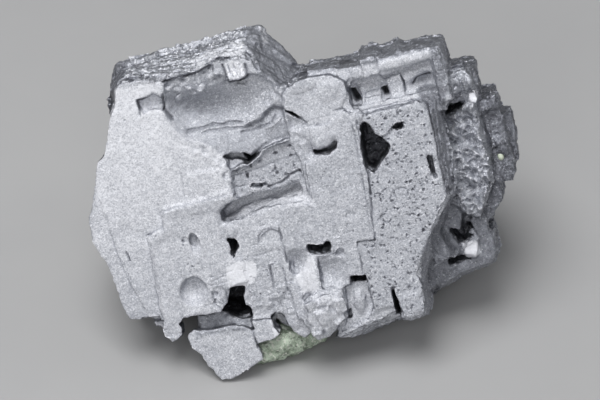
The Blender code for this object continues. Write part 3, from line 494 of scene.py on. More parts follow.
ROUND_PLATE = [
    (1.0, 20.8), (1.8, 23.2), (4.6, 24.8), (8.0, 24.8), (12.0, 24.0), (14.6, 21.6), (14.0, 18.2),
    (11.2, 16.8), (10.2, 10.2), (5.0, 9.8), (4.8, 15.0),
]
ROUGH_CRYSTAL = [
    (-3.7, -21.4), (-1.5, -20.0), (4.8, -20.2), (5.0, -23.4), (4.2, -26.0), (0.0, -30.4), (-3.0, -30.2),
    (-4.2, -26.0),
]
BROKEN_FOOT = [
    (-30.2, -23.8), (-24.6, -23.6), (-17.8, -24.6), (-15.8, -26.0), (-15.0, -32.0), (-22.3, -35.2),
    (-25.0, -34.8), (-28.0, -29.0),
]
DARK_SHOULDER = [
    (-4.5, 33.5), (-3.0, 31.0), (-2.4, 27.5), (-0.4, 24.6), (1.8, 23.4), (3.6, 25.0), (7.2, 26.8),
    (7.0, 28.8), (3.8, 31.2), (1.0, 35.0), (0.5, 38.6), (-4.4, 38.8),
]
TOP_BAND = [
    (-34.0, 37.0), (-20.0, 38.6), (-4.4, 38.8), (-4.5, 33.0), (-5.8, 31.8), (-10.2, 32.2), (-15.0, 30.8),
    (-22.4, 30.2), (-31.0, 32.8),
]
TOP_GROOVE = [(-33.5, 34.0), (-23.2, 34.9), (-14.4, 35.4), (-4.0, 35.6)]
PALE_BAND = [(-17.0, 32.8), (-12.0, 34.2), (-5.2, 34.6), (-5.0, 32.4), (-10.2, 32.6), (-15.0, 31.2)]
SHOULDER_HIGHLIGHT = [(-1.6, 36.2), (-0.7, 36.2), (-0.5, 32.6), (-1.4, 32.6)]
BLOCK_RIM = [(-11.8, -24.2), (-10.3, -24.0), (-9.9, -27.2), (-11.3, -27.8)]
LEFT_BEVEL = [(-36.4, 28.0), (-34.2, 27.0), (-33.2, 30.6), (-30.8, 33.6), (-32.0, 37.0), (-36.0, 34.0)]
RIGHT_BEVEL = [
    (28.4, 17.6), (34.6, 17.8), (33.4, 10.0), (33.0, 4.0), (32.6, -4.0), (30.2, -6.0), (30.2, 0.0),
    (30.4, 5.0), (30.5, 10.0), (29.6, 14.4),
]
RIGHT_WALL = [(33.0, 25.6), (36.6, 26.2), (36.4, 16.0), (33.0, 15.0)]
FRESH_CUBE = [(-9.6, 31.2), (-6.6, 31.6), (-5.2, 30.4), (-5.3, 28.4), (-6.6, 27.3), (-9.2, 27.6)]
FRESH_PATCH = [
    (-18.2, -10.8), (-14.6, -10.3), (-12.2, -11.0), (-12.4, -13.4), (-13.6, -15.2), (-15.6, -15.6),
    (-18.6, -15.2),
]
FRESH_SLOPE = [
    (-4.8, -16.4), (-2.0, -14.2), (-1.0, -12.2), (0.2, -12.3), (0.2, -14.0), (-0.2, -19.5), (-4.2, -19.8),
]
FACE_OUTLINE = [
    (-31.5, 32.0), (-22.6, 30.2), (-10.4, 32.0), (-4.8, 32.0), (-2.6, 27.0), (1.6, 23.4), (7.0, 25.8),
    (17.0, 25.5), (34.4, 25.2), (33.4, 14.0), (31.4, 5.0), (30.2, -5.0), (24.0, -14.0), (21.0, -19.0),
    (20.6, -29.5), (15.6, -28.4), (9.6, -27.0), (0.0, -30.6), (-9.0, -29.0), (-15.0, -33.0),
    (-25.0, -34.5), (-30.0, -23.8), (-34.0, -19.4), (-42.5, -18.4), (-46.5, 0.0), (-42.0, 18.0),
    (-37.5, 25.0), (-36.0, 29.0),
]
FOIL = [(33.4, 11.5), (40.5, 12.0), (41.0, -11.0), (32.4, -12.0), (32.6, 2.0)]
WHITE_GLINT = [(39.0, 13.8), (40.8, 13.7), (40.9, 11.9), (39.1, 11.8)]
SPARKLING_RIBS = [(34.9, 18.8), (41.0, 18.8), (40.9, 14.0), (38.6, 14.0), (35.0, 15.2)]
TOP_STRIP = [(6.2, 25.4), (17.0, 24.9), (34.4, 25.4), (37.0, 25.0), (37.5, 30.0), (5.0, 30.0)]
LOW_RIGHT = [
    (22.6, -16.0), (30.8, -5.8), (34.0, -12.0), (39.0, -14.0), (39.0, -26.0), (20.8, -31.0), (21.6, -20.0),
]
LEDGE_UNDER = [(-28.5, -20.2), (-20.6, -20.2), (-19.4, -22.4), (-16.6, -22.9), (-16.6, -25.2), (-28.0, -24.4)]
LIT_FACET = [(31.2, -18.2), (34.4, -18.0), (34.6, -21.4), (31.6, -21.8)]
SHADED_HOLLOW = [
    (-22.6, 27.0), (-22.8, 24.4), (-20.0, 22.2), (-15.0, 20.6), (-11.0, 20.4), (-9.8, 23.0), (-11.0, 25.4),
    (-15.0, 25.6), (-17.0, 26.2),
]
SOFT_SCOOP = [(-6.0, -9.8), (-1.0, -10.4), (0.4, -12.4), (0.2, -19.8), (-4.4, -20.0), (-5.6, -16.0)]

HOLE_BY_BREAK = [
    (-28.6, 27.3), (-25.3, 28.1), (-23.6, 26.9), (-24.1, 24.6), (-26.4, 25.2), (-28.0, 24.5), (-28.7, 25.6),
]
CREST = [
    (-23.0, 29.8), (-15.0, 30.6), (-11.0, 31.6), (-10.6, 29.0), (-12.4, 26.8), (-17.0, 26.0), (-22.6, 27.2),
]

# Sunk places: the outline, how deep, and how wide the edge is.
SUNK = (
    (HOLE_BY_BREAK, 1.3, 0.12),
    (arc((-21.0, -17.3), (1.7, 2.9), 0.0, 330.0, 12), 0.35, 0.15),
    ([(1.3, 17.9), (1.4, 15.2), (5.0, 15.3)], 0.35, 0.3),
    ([(27.9, 3.3), (28.8, 3.2), (28.9, -1.2), (28.3, -1.2)], 2.2, 0.15),
    ([(14.9, 20.1), (15.9, 19.9), (16.8, 17.7), (15.7, 17.4)], 4.5, 0.25),
    ([(21.4, 19.0), (22.4, 19.3), (22.8, 17.4), (22.0, 17.3)], 4.5, 0.25),
    ([(-0.6, -9.7), (2.2, -10.3), (4.3, -10.2), (3.9, -12.5), (-0.6, -11.3)], 3.5, 0.2),
    ([(-16.8, -4.8), (-15.2, -5.5), (-14.8, -7.0), (-16.4, -9.2), (-16.0, -7.2), (-16.1, -6.2)], 2.6, 0.2),
    ([(22.4, 22.6), (32.4, 23.0), (32.6, 20.4), (26.2, 20.2), (22.6, 20.0)], 0.2, 0.2),
    ([(22.6, 19.8), (26.0, 20.2), (26.2, 17.2), (22.4, 16.6)], 0.25, 0.2),
    ([(22.5, 10.5), (22.8, 11.7), (24.4, 11.9), (24.4, 10.6)], 2.4, 0.2),
    ([(-9.9, 4.4), (-9.5, 5.2), (-7.6, 5.0), (-6.0, 4.4), (-7.6, 4.1)], 1.6, 0.12),
    ([(-38.4, -18.2), (-34.6, -18.6), (-34.6, -20.2), (-38.6, -19.6)], 1.0, 0.2),
    ([(-2.9, 21.8), (-1.7, 22.6), (-1.2, 21.2), (-2.2, 20.6)], 0.25, 0.2),
)

# Rounded hollows with an upright top wall: centre, reach across and up, depth and turn.
SCOOPS = (
    ((-23.7, -4.8), (1.2, 2.7), 1.5, 4.0),
    ((-26.1, -14.8), (3.1, 3.3), 1.4, 0.0),
    ((-7.6, -6.8), (2.5, 2.2), 0.45, 0.0),
    ((5.8, -12.7), (1.0, 0.9), 1.2, 30.0),
    ((-22.4, 1.4), (1.0, 0.5), 0.15, 0.0),
    ((9.6, -5.6), (1.0, 1.2), 0.2, 0.0),
    ((16.6, -7.4), (1.1, 1.1), 0.25, 40.0),
    ((-13.5, 8.4), (0.9, 1.4), 0.5, 90.0),
    ((25.6, 13.0), (0.7, 0.6), 0.3, 10.0),
)

# Cracks and thin lines: the line, how wide, how deep and how dark their painted shade is.
CRACKS = (
    (((-29.6, 3.2), (-27.0, 3.8), (-25.5, 3.9), (-15.3, 4.3)), 0.3, 0.25, 0.3),
    (((-23.2, 10.7), (-23.6, 8.0), (-23.9, 5.8)), 0.25, 0.2, 0.25),
    (((-33.0, -0.8), (-31.4, -0.3), (-29.2, 0.0)), 0.3, 0.3, 0.4),
    (((-34.3, -12.0), (-34.2, -16.0), (-34.0, -19.0)), 0.3, 0.3, 0.4),
    (((-40.9, 5.2), (-40.4, -3.0), (-38.8, -13.0)), 0.3, 0.2, 0.25),
    (((-38.4, -3.4), (-38.1, -5.4)), 0.3, 0.4, 0.8),
    (((-39.6, -5.6), (-38.8, -9.6)), 0.25, 0.2, 0.4),
    (((15.2, 14.0), (15.1, 9.0)), 0.3, 0.4, 0.5),
    (((31.6, 15.0), (31.7, 5.0), (31.3, -4.0)), 0.4, -0.6, 0.0),
    (((30.3, 14.0), (30.4, 5.0), (30.1, -4.0)), 0.3, 0.4, 1.0),
    (((28.0, 18.6), (28.9, 19.7), (30.2, 20.0), (31.9, 19.9)), 0.4, 0.5, 1.4),
    (((-28.8, 24.6), (-28.8, 27.5), (-25.3, 28.3), (-23.4, 27.0), (-23.9, 24.6)), 0.4, 0.6, 1.5),
    (((-27.6, 25.0), (-26.6, 26.6), (-27.2, 27.4)), 0.3, -0.5, 0.0),
    (((-26.2, 25.4), (-25.0, 26.4), (-24.2, 26.2)), 0.3, -0.5, 0.0),
    (((-16.0, -24.0), (-15.8, -26.0), (-15.7, -29.4)), 0.35, 0.5, 0.9),
    (((-15.6, -23.3), (-11.4, -23.8), (-10.4, -22.8)), 0.3, 0.4, 0.7),
    (((15.4, 3.0), (14.6, -2.3), (14.1, -7.0), (13.7, -11.5)), 0.28, 0.5, 0.7),
    (((13.7, -11.5), (9.9, -11.3)), 0.28, 0.5, 0.7),
    (((9.9, -11.3), (9.8, -15.0), (9.6, -18.0)), 0.28, 0.5, 0.7),
    (((14.2, 13.6), (14.1, 6.0), (13.8, 0.0), (13.2, -8.0)), 0.25, 0.25, 0.5),
    (((1.1, 19.1), (2.2, 18.3), (3.2, 17.2), (4.9, 15.9)), 0.4, 1.1, 1.8),
    (((-5.5, -5.0), (-5.4, -9.0), (-5.3, -12.6)), 0.35, 0.5, 0.7),
    (((-9.3, -12.4), (-9.2, -15.0), (-9.4, -17.6)), 0.35, 0.5, 0.7),
    (((-6.7, -13.5), (-6.6, -18.5)), 0.25, 0.3, 0.4),
    (((-13.4, -9.9), (-9.0, -9.4), (-6.4, -9.6)), 0.25, 0.2, 0.3),
    (((-14.0, -7.6), (-10.6, -7.4)), 0.2, 0.15, 0.2),
    (((-13.4, 7.6), (-8.0, 8.2), (1.2, 9.4)), 0.3, 0.25, 0.4),
    (((-13.4, 5.4), (-10.0, 5.2)), 0.25, 0.3, 0.4),
    (((-6.0, 3.9), (-3.0, 4.2), (-1.0, 5.4), (1.2, 6.0)), 0.4, 0.6, 0.9),
    (((26.0, 21.0), (26.3, 19.4), (26.1, 17.4)), 0.3, 0.6, 0.9),
    (((21.4, 22.4), (22.2, 21.0), (23.4, 20.8)), 0.25, 0.4, 0.6),
    (((15.1, -22.4), (15.0, -24.5), (15.0, -26.5), (15.3, -28.8)), 0.5, 1.4, 1.0),
    (((10.2, -19.6), (10.4, -26.4)), 0.3, 0.6, 0.8),
    (((-22.5, 30.3), (-18.0, 30.6), (-14.6, 31.0), (-12.6, 31.8)), 0.45, 0.7, 1.0),
    (((-12.9, 31.0), (-11.9, 32.2), (-10.2, 32.6), (-8.0, 32.2)), 0.35, 0.5, 0.9),
    (((-9.7, 31.2), (-9.4, 29.4), (-9.2, 27.5), (-7.0, 27.1), (-5.2, 28.1), (-5.0, 30.4)), 0.5, 0.7, 1.4),
    (((-8.5, 31.0), (-8.3, 29.0), (-7.9, 27.8)), 0.22, 0.4, 0.9),
    (((-7.3, 31.0), (-7.1, 29.2), (-6.6, 27.8)), 0.22, 0.3, 0.7),
    (((-6.2, 30.8), (-6.0, 29.2)), 0.2, 0.3, 0.5),
    (((-30.6, 32.4), (-27.0, 32.0), (-25.6, 31.4)), 0.3, 0.3, 0.6),
    (((-21.9, -13.4), (-19.2, -12.6)), 0.25, 0.2, 0.3),
    (((-22.2, -12.4), (-17.2, -11.8)), 0.22, 0.2, 0.2),
    (((-22.4, -14.2), (-17.6, -13.6)), 0.22, 0.2, 0.2),
    (((-22.4, -15.4), (-22.2, -18.4), (-21.0, -20.0), (-19.8, -18.4), (-19.4, -15.6)), 0.25, 0.25, 0.4),
    (((-21.9, -15.6), (-21.2, -16.2), (-22.0, -16.8)), 0.25, 0.2, 0.3),
    (((-22.0, -18.0), (-20.4, -18.4), (-20.8, -17.4)), 0.25, 0.2, 0.3),
    (((-9.0, 20.4), (-4.0, 20.4), (-2.0, 21.6)), 0.3, 0.1, 0.1),
    (((21.0, 19.0), (18.0, 18.8), (17.6, 17.0)), 0.25, 0.3, 0.4),
    (((3.0, -9.6), (6.2, -9.6), (9.0, -10.0)), 0.2, 0.12, 0.2),
    (((-4.4, -13.0), (-4.4, -17.5), (-3.8, -20.5)), 0.3, 0.3, 0.5),
    (((6.4, 14.9), (9.8, 15.0)), 0.25, 0.3, 0.4),
    (((0.7, 20.8), (1.0, 22.4), (1.8, 23.4)), 0.3, 0.4, 0.5),
)

# Thin folds along the foot of the shell-shaped break: the line, how wide, how high and how dark the painted
# shade along it is.
FOLDS = (
    (((-20.0, 18.8), (-15.0, 19.0), (-12.0, 18.6), (-9.0, 18.2)), 0.6, -0.5, 0.35),
    (((-17.0, 17.9), (-12.0, 17.7), (-8.0, 16.9), (-5.0, 16.7)), 0.5, -0.4, 0.25),
    (((-7.6, 17.2), (-4.6, 17.7), (-2.9, 19.3), (-1.2, 20.0), (0.4, 19.6)), 0.8, -0.5, 0.4),
    (((-9.0, 16.2), (-5.0, 16.4), (-3.0, 17.0), (-1.4, 18.4)), 0.4, -0.4, 0.4),
    (((-4.0, 16.1), (-2.0, 16.6), (-0.4, 17.7)), 0.5, 0.4, 0.0),
    (((-23.4, 27.6), (-23.8, 24.6), (-22.8, 22.3)), 0.5, -0.6, 0.5),
)

# Thin arch-shaped lines: centre, reach across and up, first and last angle.
ARCHES = (
    ((21.1, -3.0), (1.5, 1.3), -40.0, 200.0),
    ((-7.6, -6.6), (2.7, 2.3), 60.0, 190.0),
    ((-26.1, -14.8), (3.1, 3.3), 20.0, 200.0),
    ((9.7, -5.2), (0.9, 0.9), 10.0, 190.0),
    ((9.0, -7.8), (0.7, 0.8), 60.0, 260.0),
    ((11.6, 14.8), (2.6, 2.4), 20.0, 100.0),
    ((17.0, -7.4), (1.0, 1.0), 100.0, 330.0),
    ((12.8, -12.4), (0.8, 0.6), 150.0, 400.0),
    ((-12.0, 9.6), (1.1, 0.9), 200.0, 380.0),
    ((31.0, -7.0), (2.0, 2.4), 40.0, 120.0),
)

# Low steps: the line, with the higher ground to its left, the height, and how far that ground slopes.
LOW_STEPS = (
    (((-41.4, 8.0), (-40.6, 0.0), (-39.4, -9.0), (-37.0, -17.6)), 0.3, 3.0),
    (((-15.3, 4.4), (-25.5, 4.0), (-29.4, 3.2), (-29.4, 0.2), (-33.2, -1.0), (-34.3, -19.4)), 0.5, 3.5),
    (((-23.9, 4.4), (-23.4, 10.8)), -0.2, 3.0),
    (((3.2, -1.2), (3.4, 4.0), (3.2, 8.0)), -0.25, 1.2),
    (((14.9, 13.6), (15.2, 15.6), (28.0, 15.8)), 0.3, 2.0),
    (((-14.6, 3.0), (-14.8, 10.5)), 0.25, 2.0),
)

# Low rises: centre, reach, height and turn.
KNOBS = (
    ((-20.4, 26.0), (1.1, 0.7), 1.1, 30.0),
    ((-15.4, 27.2), (1.3, 0.9), 1.6, 40.0),
    ((-20.0, 23.8), (0.8, 0.5), 0.4, 0.0),
    ((-17.8, 27.8), (0.9, 0.6), 0.8, 0.0),
    ((-21.8, 28.6), (0.8, 0.6), 0.7, 0.0),
    ((-12.5, 29.0), (1.6, 1.2), 0.6, 20.0),
    ((-15.5, -3.4), (1.4, 1.8), 0.35, 10.0),
    ((-31.0, -0.6), (1.4, 0.6), 0.3, 8.0),
    ((5.6, 23.6), (3.2, 1.6), 0.4, 10.0),
    ((10.6, 21.4), (2.6, 2.2), 0.4, 20.0),
    ((7.0, 12.0), (2.2, 2.0), 0.3, 0.0),
    ((-7.0, -25.0), (1.8, 2.6), 0.4, 0.0),
)

# Where the pits are: the stretch, how many, and the smallest and largest radius.
PITTED = (
    (RIGHT_PANEL, 720, (0.1, 0.38)),
    (SUNK_PANEL, 60, (0.14, 0.5)),
    (CENTRE_PANEL, 60, (0.1, 0.24)),
    (FOOT_PANEL, 70, (0.1, 0.28)),
    (arc((-21.0, -17.3), (1.5, 2.6), 0.0, 330.0, 12), 18, (0.14, 0.36)),
    (LOWER_PANEL, 26, (0.1, 0.22)),
    ([(-26.4, -8.6), (-23.8, -8.2), (-23.8, -10.4), (-26.2, -10.4)], 7, (0.15, 0.4)),
    ([(-26.4, -3.2), (-25.2, -3.2), (-25.2, -4.4), (-26.4, -4.4)], 3, (0.25, 0.4)),
    (BROKEN_FOOT, 14, (0.1, 0.26)),
    (ROUND_PLATE, 14, (0.1, 0.22)),
    (LEFT_PANEL, 18, (0.1, 0.2)),
)

# The shell-shaped break and the drape below it: the stretches, and points that their surface runs through.
BREAK = [
    (-22.8, 29.4), (-23.4, 27.4), (-24.2, 24.8), (-23.2, 22.0), (-22.4, 19.6), (-20.6, 17.6), (-17.5, 15.8),
    (-13.0, 14.6), (0.7, 15.6), (0.7, 20.6), (0.9, 22.6), (-1.0, 24.8), (-2.6, 27.2), (-4.6, 27.6),
    (-6.6, 26.4), (-10.0, 26.8), (-10.4, 29.6), (-14.0, 30.0),
]
DRAPE = [
    (-17.5, 16.6), (-14.2, 13.0), (-11.0, 11.8), (-8.4, 11.2), (-4.6, 13.0), (-0.2, 13.5), (0.7, 13.6),
    (0.7, 17.0),
]
BREAK_FORM = (
    (-24.2, 27.0, 0.4), (-24.6, 24.6, 0.4), (-23.6, 22.0, 0.4), (-22.9, 19.6, 0.4), (-21.0, 17.2, 0.4),
    (-17.5, 15.4, 0.3), (-14.2, 12.8, 0.2),
    (-22.2, 26.8, -2.2), (-22.6, 24.6, -2.4), (-21.9, 22.6, -2.4), (-21.4, 20.8, -1.4),
    (-21.6, 28.8, -1.0), (-18.0, 28.8, -1.2), (-14.5, 29.4, -1.2), (-11.4, 29.6, -1.0), (-19.6, 27.4, -1.6),
    (-15.6, 27.2, -1.6), (-12.2, 28.0, -1.5),
    (-20.0, 25.6, -3.6), (-16.2, 25.0, -4.2), (-13.0, 25.8, -3.8), (-10.2, 26.2, -3.2), (-7.0, 25.6, -2.6),
    (-4.6, 26.6, -1.8),
    (-18.8, 23.2, -4.6), (-15.0, 22.6, -5.0), (-11.0, 22.8, -4.7), (-7.0, 22.8, -3.9), (-4.0, 23.6, -2.9),
    (-2.0, 25.0, -2.0), (-0.6, 23.0, -1.9),
    (-17.8, 20.8, -3.4), (-13.6, 20.4, -3.9), (-9.4, 20.0, -3.7), (-6.2, 20.2, -3.2), (-3.6, 21.8, -2.7),
    (-20.2, 19.4, -1.6), (-16.6, 19.2, -2.3), (-12.8, 18.8, -2.5), (-9.4, 18.0, -2.3), (-6.4, 17.9, -2.0),
    (-4.4, 18.9, -1.7), (-3.0, 20.4, -1.6), (-1.2, 21.0, -1.4), (0.4, 21.0, -0.9),
    (-19.6, 18.2, -1.2), (-15.6, 17.6, -1.9), (-11.4, 17.0, -2.4), (-7.6, 16.6, -2.6), (-4.6, 17.2, -2.9),
    (-2.9, 18.5, -3.0), (-1.2, 19.3, -2.7), (0.5, 19.0, -2.2),
    (-14.0, 16.2, -0.9), (-9.8, 15.8, -1.6), (-6.2, 15.9, -1.9), (-3.6, 16.4, -1.6), (-2.0, 17.4, -1.5),
    (-0.4, 17.9, -1.5),
    (-14.8, 15.0, -0.1), (-11.0, 14.2, -0.7), (-7.0, 13.4, -1.2), (-3.4, 14.4, -1.4), (-0.2, 15.4, -1.4),
    (0.6, 14.2, -1.2),
)

# The scoop and the light facet at the foot, and the sunk square beside them.
SCOOP_FACET = [
    (-5.8, -9.6), (-2.0, -10.2), (-0.6, -11.0), (0.8, -12.4), (1.3, -13.4), (1.3, -20.0), (-4.6, -20.0),
    (-5.5, -16.0),
]
SCOOP_FORM = (
    (-5.8, -10.0, 0.4), (-5.6, -12.5, 0.4), (-5.4, -15.0, 0.4), (-5.0, -17.0, 0.5), (-4.4, -19.9, 0.4),
    (-4.6, -11.2, -0.8), (-4.7, -12.8, -1.7), (-4.3, -14.6, -1.3), (-3.0, -11.8, -1.1), (-2.6, -13.6, -1.2),
    (-1.4, -11.8, -0.4), (-1.4, -13.2, -0.2), (-0.3, -12.6, 0.3),
    (-4.2, -16.4, 0.0), (-2.6, -15.2, 0.1), (0.2, -14.5, 0.8), (0.3, -17.0, 0.9), (0.2, -19.6, 0.8),
    (-2.4, -18.0, 0.4), (-4.0, -19.4, 0.3), (-4.5, -9.8, 0.3), (-2.0, -10.4, 0.3),
    (1.2, -14.5, 0.8), (1.2, -17.0, 0.9), (1.2, -19.6, 0.9),
)
SUNK_SQUARE = [(0.6, -12.8), (3.4, -13.0), (6.8, -13.0), (7.0, -20.4), (0.6, -20.6)]
SQUARE_FORM = (
    (0.8, -13.0, -0.4), (2.6, -13.2, 0.0), (4.4, -13.4, 0.2), (6.6, -13.4, 0.5),
    (6.8, -16.0, 0.5), (6.8, -19.0, 0.4),
    (1.4, -14.6, -1.5), (3.4, -14.8, -1.1), (5.2, -15.0, -0.4), (1.4, -16.6, -2.0), (3.4, -16.8, -1.6),
    (5.2, -17.0, -0.5), (1.4, -18.6, -1.1), (3.4, -18.8, -0.8), (5.2, -19.0, -0.2),
    (0.8, -20.4, 1.0), (2.6, -20.4, 1.1), (4.4, -20.4, 0.7), (6.6, -20.4, 0.2),
)

# The two slanting holes in the terrace lie in soft funnels.
FUNNEL_LEFT = [(14.6, 21.2), (17.2, 21.2), (17.2, 16.9), (14.6, 16.9)]
FUNNEL_LEFT_FORM = (
    (14.6, 21.2, -2.6), (15.8, 21.2, -4.4), (17.2, 21.2, -4.6), (14.6, 19.0, -3.2), (17.2, 19.0, -4.6),
    (14.6, 16.9, -3.4), (15.8, 16.9, -4.4), (17.2, 16.9, -4.5), (15.7, 19.4, -6.6), (15.9, 18.2, -6.6),
)
FUNNEL_RIGHT = [(21.0, 20.2), (23.2, 20.2), (23.2, 16.6), (21.0, 16.6)]
FUNNEL_RIGHT_FORM = (
    (21.0, 20.2, -4.6), (22.2, 20.2, -4.6), (23.2, 20.2, -3.8), (21.0, 18.2, -4.6), (23.2, 18.2, -4.2),
    (21.0, 16.6, -3.5), (22.2, 16.6, -3.8), (23.2, 16.6, -4.2), (22.0, 18.8, -6.0), (22.1, 17.9, -6.0),
)

# The plain stretch round the small arch, and the three-cornered recess beside the round plate.
ARCH_PLATE = [(-11.2, -3.7), (-4.2, -3.7), (-4.2, -9.3), (-11.2, -9.3)]
ARCH_FORM = (
    (-11.0, -3.9, 0.5), (-7.6, -3.9, 0.5), (-4.4, -3.9, 0.5), (-11.0, -9.1, 0.5), (-7.6, -9.1, 0.5),
    (-4.4, -9.1, 0.5), (-7.6, -6.5, 0.6),
)
UNDER_CRACK = [(0.8, 19.4), (2.6, 18.2), (5.6, 16.0), (5.6, 14.4), (0.8, 14.2)]
UNDER_CRACK_FORM = (
    (1.0, 19.0, 0.2), (3.2, 17.4, 0.2), (5.4, 15.8, 0.2), (1.0, 14.5, -0.3), (3.2, 14.6, -0.2),
    (5.4, 14.7, 0.1), (1.2, 17.4, -0.3), (2.0, 16.4, -0.6), (3.6, 15.6, -0.3),
)

# The arc-shaped recess at the end of the terrace, and the notch in the round plate's foot.
ARC_RECESS = [(27.0, 16.7), (27.0, 19.2), (28.6, 20.6), (32.4, 20.8), (33.2, 17.6), (32.8, 16.6)]
ARC_RECESS_FORM = (
    (27.2, 19.4, -4.1), (28.2, 20.1, -4.1), (30.0, 20.6, -4.1), (32.4, 20.6, -4.3), (28.0, 18.8, -5.4),
    (28.9, 19.5, -6.2), (30.2, 19.8, -6.5), (31.6, 19.7, -6.2), (32.4, 18.8, -5.4), (29.0, 17.9, -5.3),
    (31.0, 17.9, -5.2), (28.6, 16.9, -4.3), (30.5, 16.9, -3.8), (32.2, 16.8, -3.2), (27.2, 17.6, -4.5),
    (33.1, 17.8, -3.2),
)
NOTCH = [(2.0, 12.2), (5.0, 12.2), (5.0, 8.0), (2.4, 8.0)]
NOTCH_FORM = (
    (2.2, 12.0, 0.1), (2.6, 8.2, 0.2), (4.8, 12.0, -0.4), (4.9, 8.2, -0.2), (4.9, 10.2, -1.3),
    (4.8, 9.2, -1.3), (3.6, 10.2, -0.5), (3.6, 8.8, -0.4),
)

# Where the plain solid's front is moved: the stretch, the points, and how far behind the face it reaches.
RESHAPED = (
    (BREAK, BREAK_FORM, -9.0),
    (DRAPE, BREAK_FORM, -3.4),
    (SCOOP_FACET, SCOOP_FORM, -4.0),
    (SUNK_SQUARE, SQUARE_FORM, -4.0),
    (ARCH_PLATE, ARCH_FORM, -4.0),
    (NOTCH, NOTCH_FORM, -4.0),
    (UNDER_CRACK, UNDER_CRACK_FORM, -3.0),
    (ARC_RECESS, ARC_RECESS_FORM, -8.0),
    (FUNNEL_LEFT, FUNNEL_LEFT_FORM, -14.0),
    (FUNNEL_RIGHT, FUNNEL_RIGHT_FORM, -14.0),
)

# Where the rear blocks stick out too far beside the left panel: the outline, its face and its root.
CUT_AWAY = ([(-46.5, 12.0), (-46.5, 21.0), (-39.9, 21.0), (-41.4, 12.0)], -4.0, -25.0)

# Hollows of the plain solid that are too deep: the outline, and the filling's face and root.
LEDGE_GAP = [(-27.6, -20.9), (-21.2, -21.2), (-19.6, -22.8), (-15.8, -23.8), (-15.8, -25.4), (-27.0, -24.2)]
DRAPE_FOOT = [(-8.4, 11.0), (-4.6, 12.8), (-0.2, 13.3), (0.9, 13.5), (0.9, 14.8), (-4.8, 14.2), (-8.8, 12.4)]
FILLED = (
    ([(19.4, 9.8), (20.8, 11.2), (22.6, 10.6), (22.3, 9.0), (20.4, 8.0)], -0.8, -6.0),
    (LEDGE_GAP, -3.2, -9.0),
    ([(5.2, -19.9), (10.2, -19.9), (10.2, -27.0), (8.6, -29.0), (5.6, -28.6)], -1.7, -6.5),
    ([(-13.8, 8.8), (-13.8, 10.7), (-11.4, 11.0), (-9.8, 10.4), (-9.2, 8.8)], -1.6, -6.0),
    ([(6.6, 24.4), (11.8, 24.2), (14.4, 22.4), (15.4, 22.8), (13.0, 25.6), (7.2, 26.4)], -1.7, -8.0),
    ([(33.8, -13.4), (37.4, -13.2), (37.2, -17.4), (34.8, -17.6)], -11.4, -24.0),
    ([(1.5, -27.5), (6.0, -27.5), (6.5, -30.0), (2.0, -30.4)], -1.5, -7.0),
    (DRAPE_FOOT, -1.6, -3.4),
)

# Rough stretches of the face: the outline, and how far the roughness stands out.
ROUGH = (
    (CREST, 1.3),
    ([(-21.4, 16.0), (-18.0, 15.4), (-14.0, 13.0), (-14.0, 10.2), (-15.5, 9.8), (-18.5, 12.4)], 0.8),
    (ROUGH_CRYSTAL, 0.5),
    (LEDGE_UNDER, 0.8),
    ([(-15.0, -17.5), (-6.0, -17.0), (-5.4, -21.5), (-14.5, -22.4)], 0.8),
)

# Rounded growths on the blocks at the right: place, radii and turn.
BALLS = (
    ((35.8, 17.0, -7.5), (0.7, 1.8, 1.5), 0.0),
    ((37.1, 16.8, -7.5), (0.7, 1.8, 1.5), 4.0),
    ((38.4, 16.6, -7.5), (0.7, 1.8, 1.5), 8.0),
    ((39.6, 16.4, -7.5), (0.7, 1.8, 1.5), 12.0),
    ((36.4, 15.2, -7.4), (1.6, 0.8, 1.3), 0.0),
    ((42.2, 10.4, -12.6), (1.0, 0.9, 1.2), 0.0),
    ((43.6, 10.0, -12.8), (1.1, 0.8, 1.2), 15.0),
    ((44.7, 9.4, -13.4), (0.8, 0.8, 1.0), 0.0),
    ((43.2, 1.4, -12.4), (1.3, 1.2, 1.0), 0.0),
    ((43.9, -0.4, -12.6), (1.1, 1.4, 0.9), 20.0),
)

# Small cubes, most of them grown together on the rough crystal: place, size and turns. Their corners are
# cut by this share of their smallest side.
CUT_CORNER = 0.18
CUBES = (
    ((-2.0, -22.6, 1.6), (2.6, 2.8, 2.2), (14.0, -10.0, 12.0)),
    ((1.0, -21.8, 1.8), (3.0, 2.4, 2.2), (-12.0, 8.0, -8.0)),
    ((3.4, -23.4, 1.6), (2.4, 3.2, 2.2), (6.0, 16.0, 5.0)),
    ((0.0, -25.0, 1.9), (3.2, 3.0, 2.2), (10.0, 6.0, 20.0)),
    ((2.6, -26.4, 1.3), (2.4, 2.2, 2.0), (-10.0, 14.0, 30.0)),
    ((-2.4, -27.6, 1.2), (2.2, 3.0, 2.0), (-14.0, -12.0, 5.0)),
    ((39.9, 12.8, -8.0), (1.5, 1.8, 1.2), (-14.0, 10.0, 20.0)),
    ((33.0, -19.8, -11.0), (2.6, 3.4, 2.4), (-25.0, -15.0, -20.0)),
)


def fine_growths():
    """Small crystals and rounded growths that are too fine for the plain solid."""
    return [small_ball(*row) for row in BALLS] + [small_cube(*row) for row in CUBES]


def draw_marks(face):
    """The low relief of the face: plates, scoops, steps, cracks, pits and worn growth marks."""
    marks = (
        (face.step, LOW_STEPS),
        (face.sink, SUNK),
        (face.scoop, SCOOPS),
        (face.knob, KNOBS),
        (face.crack, CRACKS),
    )
    for draw, table in marks:
        for row in table:
            draw(*row)
    for row in ARCHES:
        face.crack(arc(*row), 0.26, 0.25, 0.5)
    for seed, (outline, count, radii) in enumerate(PITTED):
        face.pits(strewn(outline, count, radii, SEED + seed))
    small_growth_marks(face)
    fold_the_bowl(face)
    texture_the_face(face)


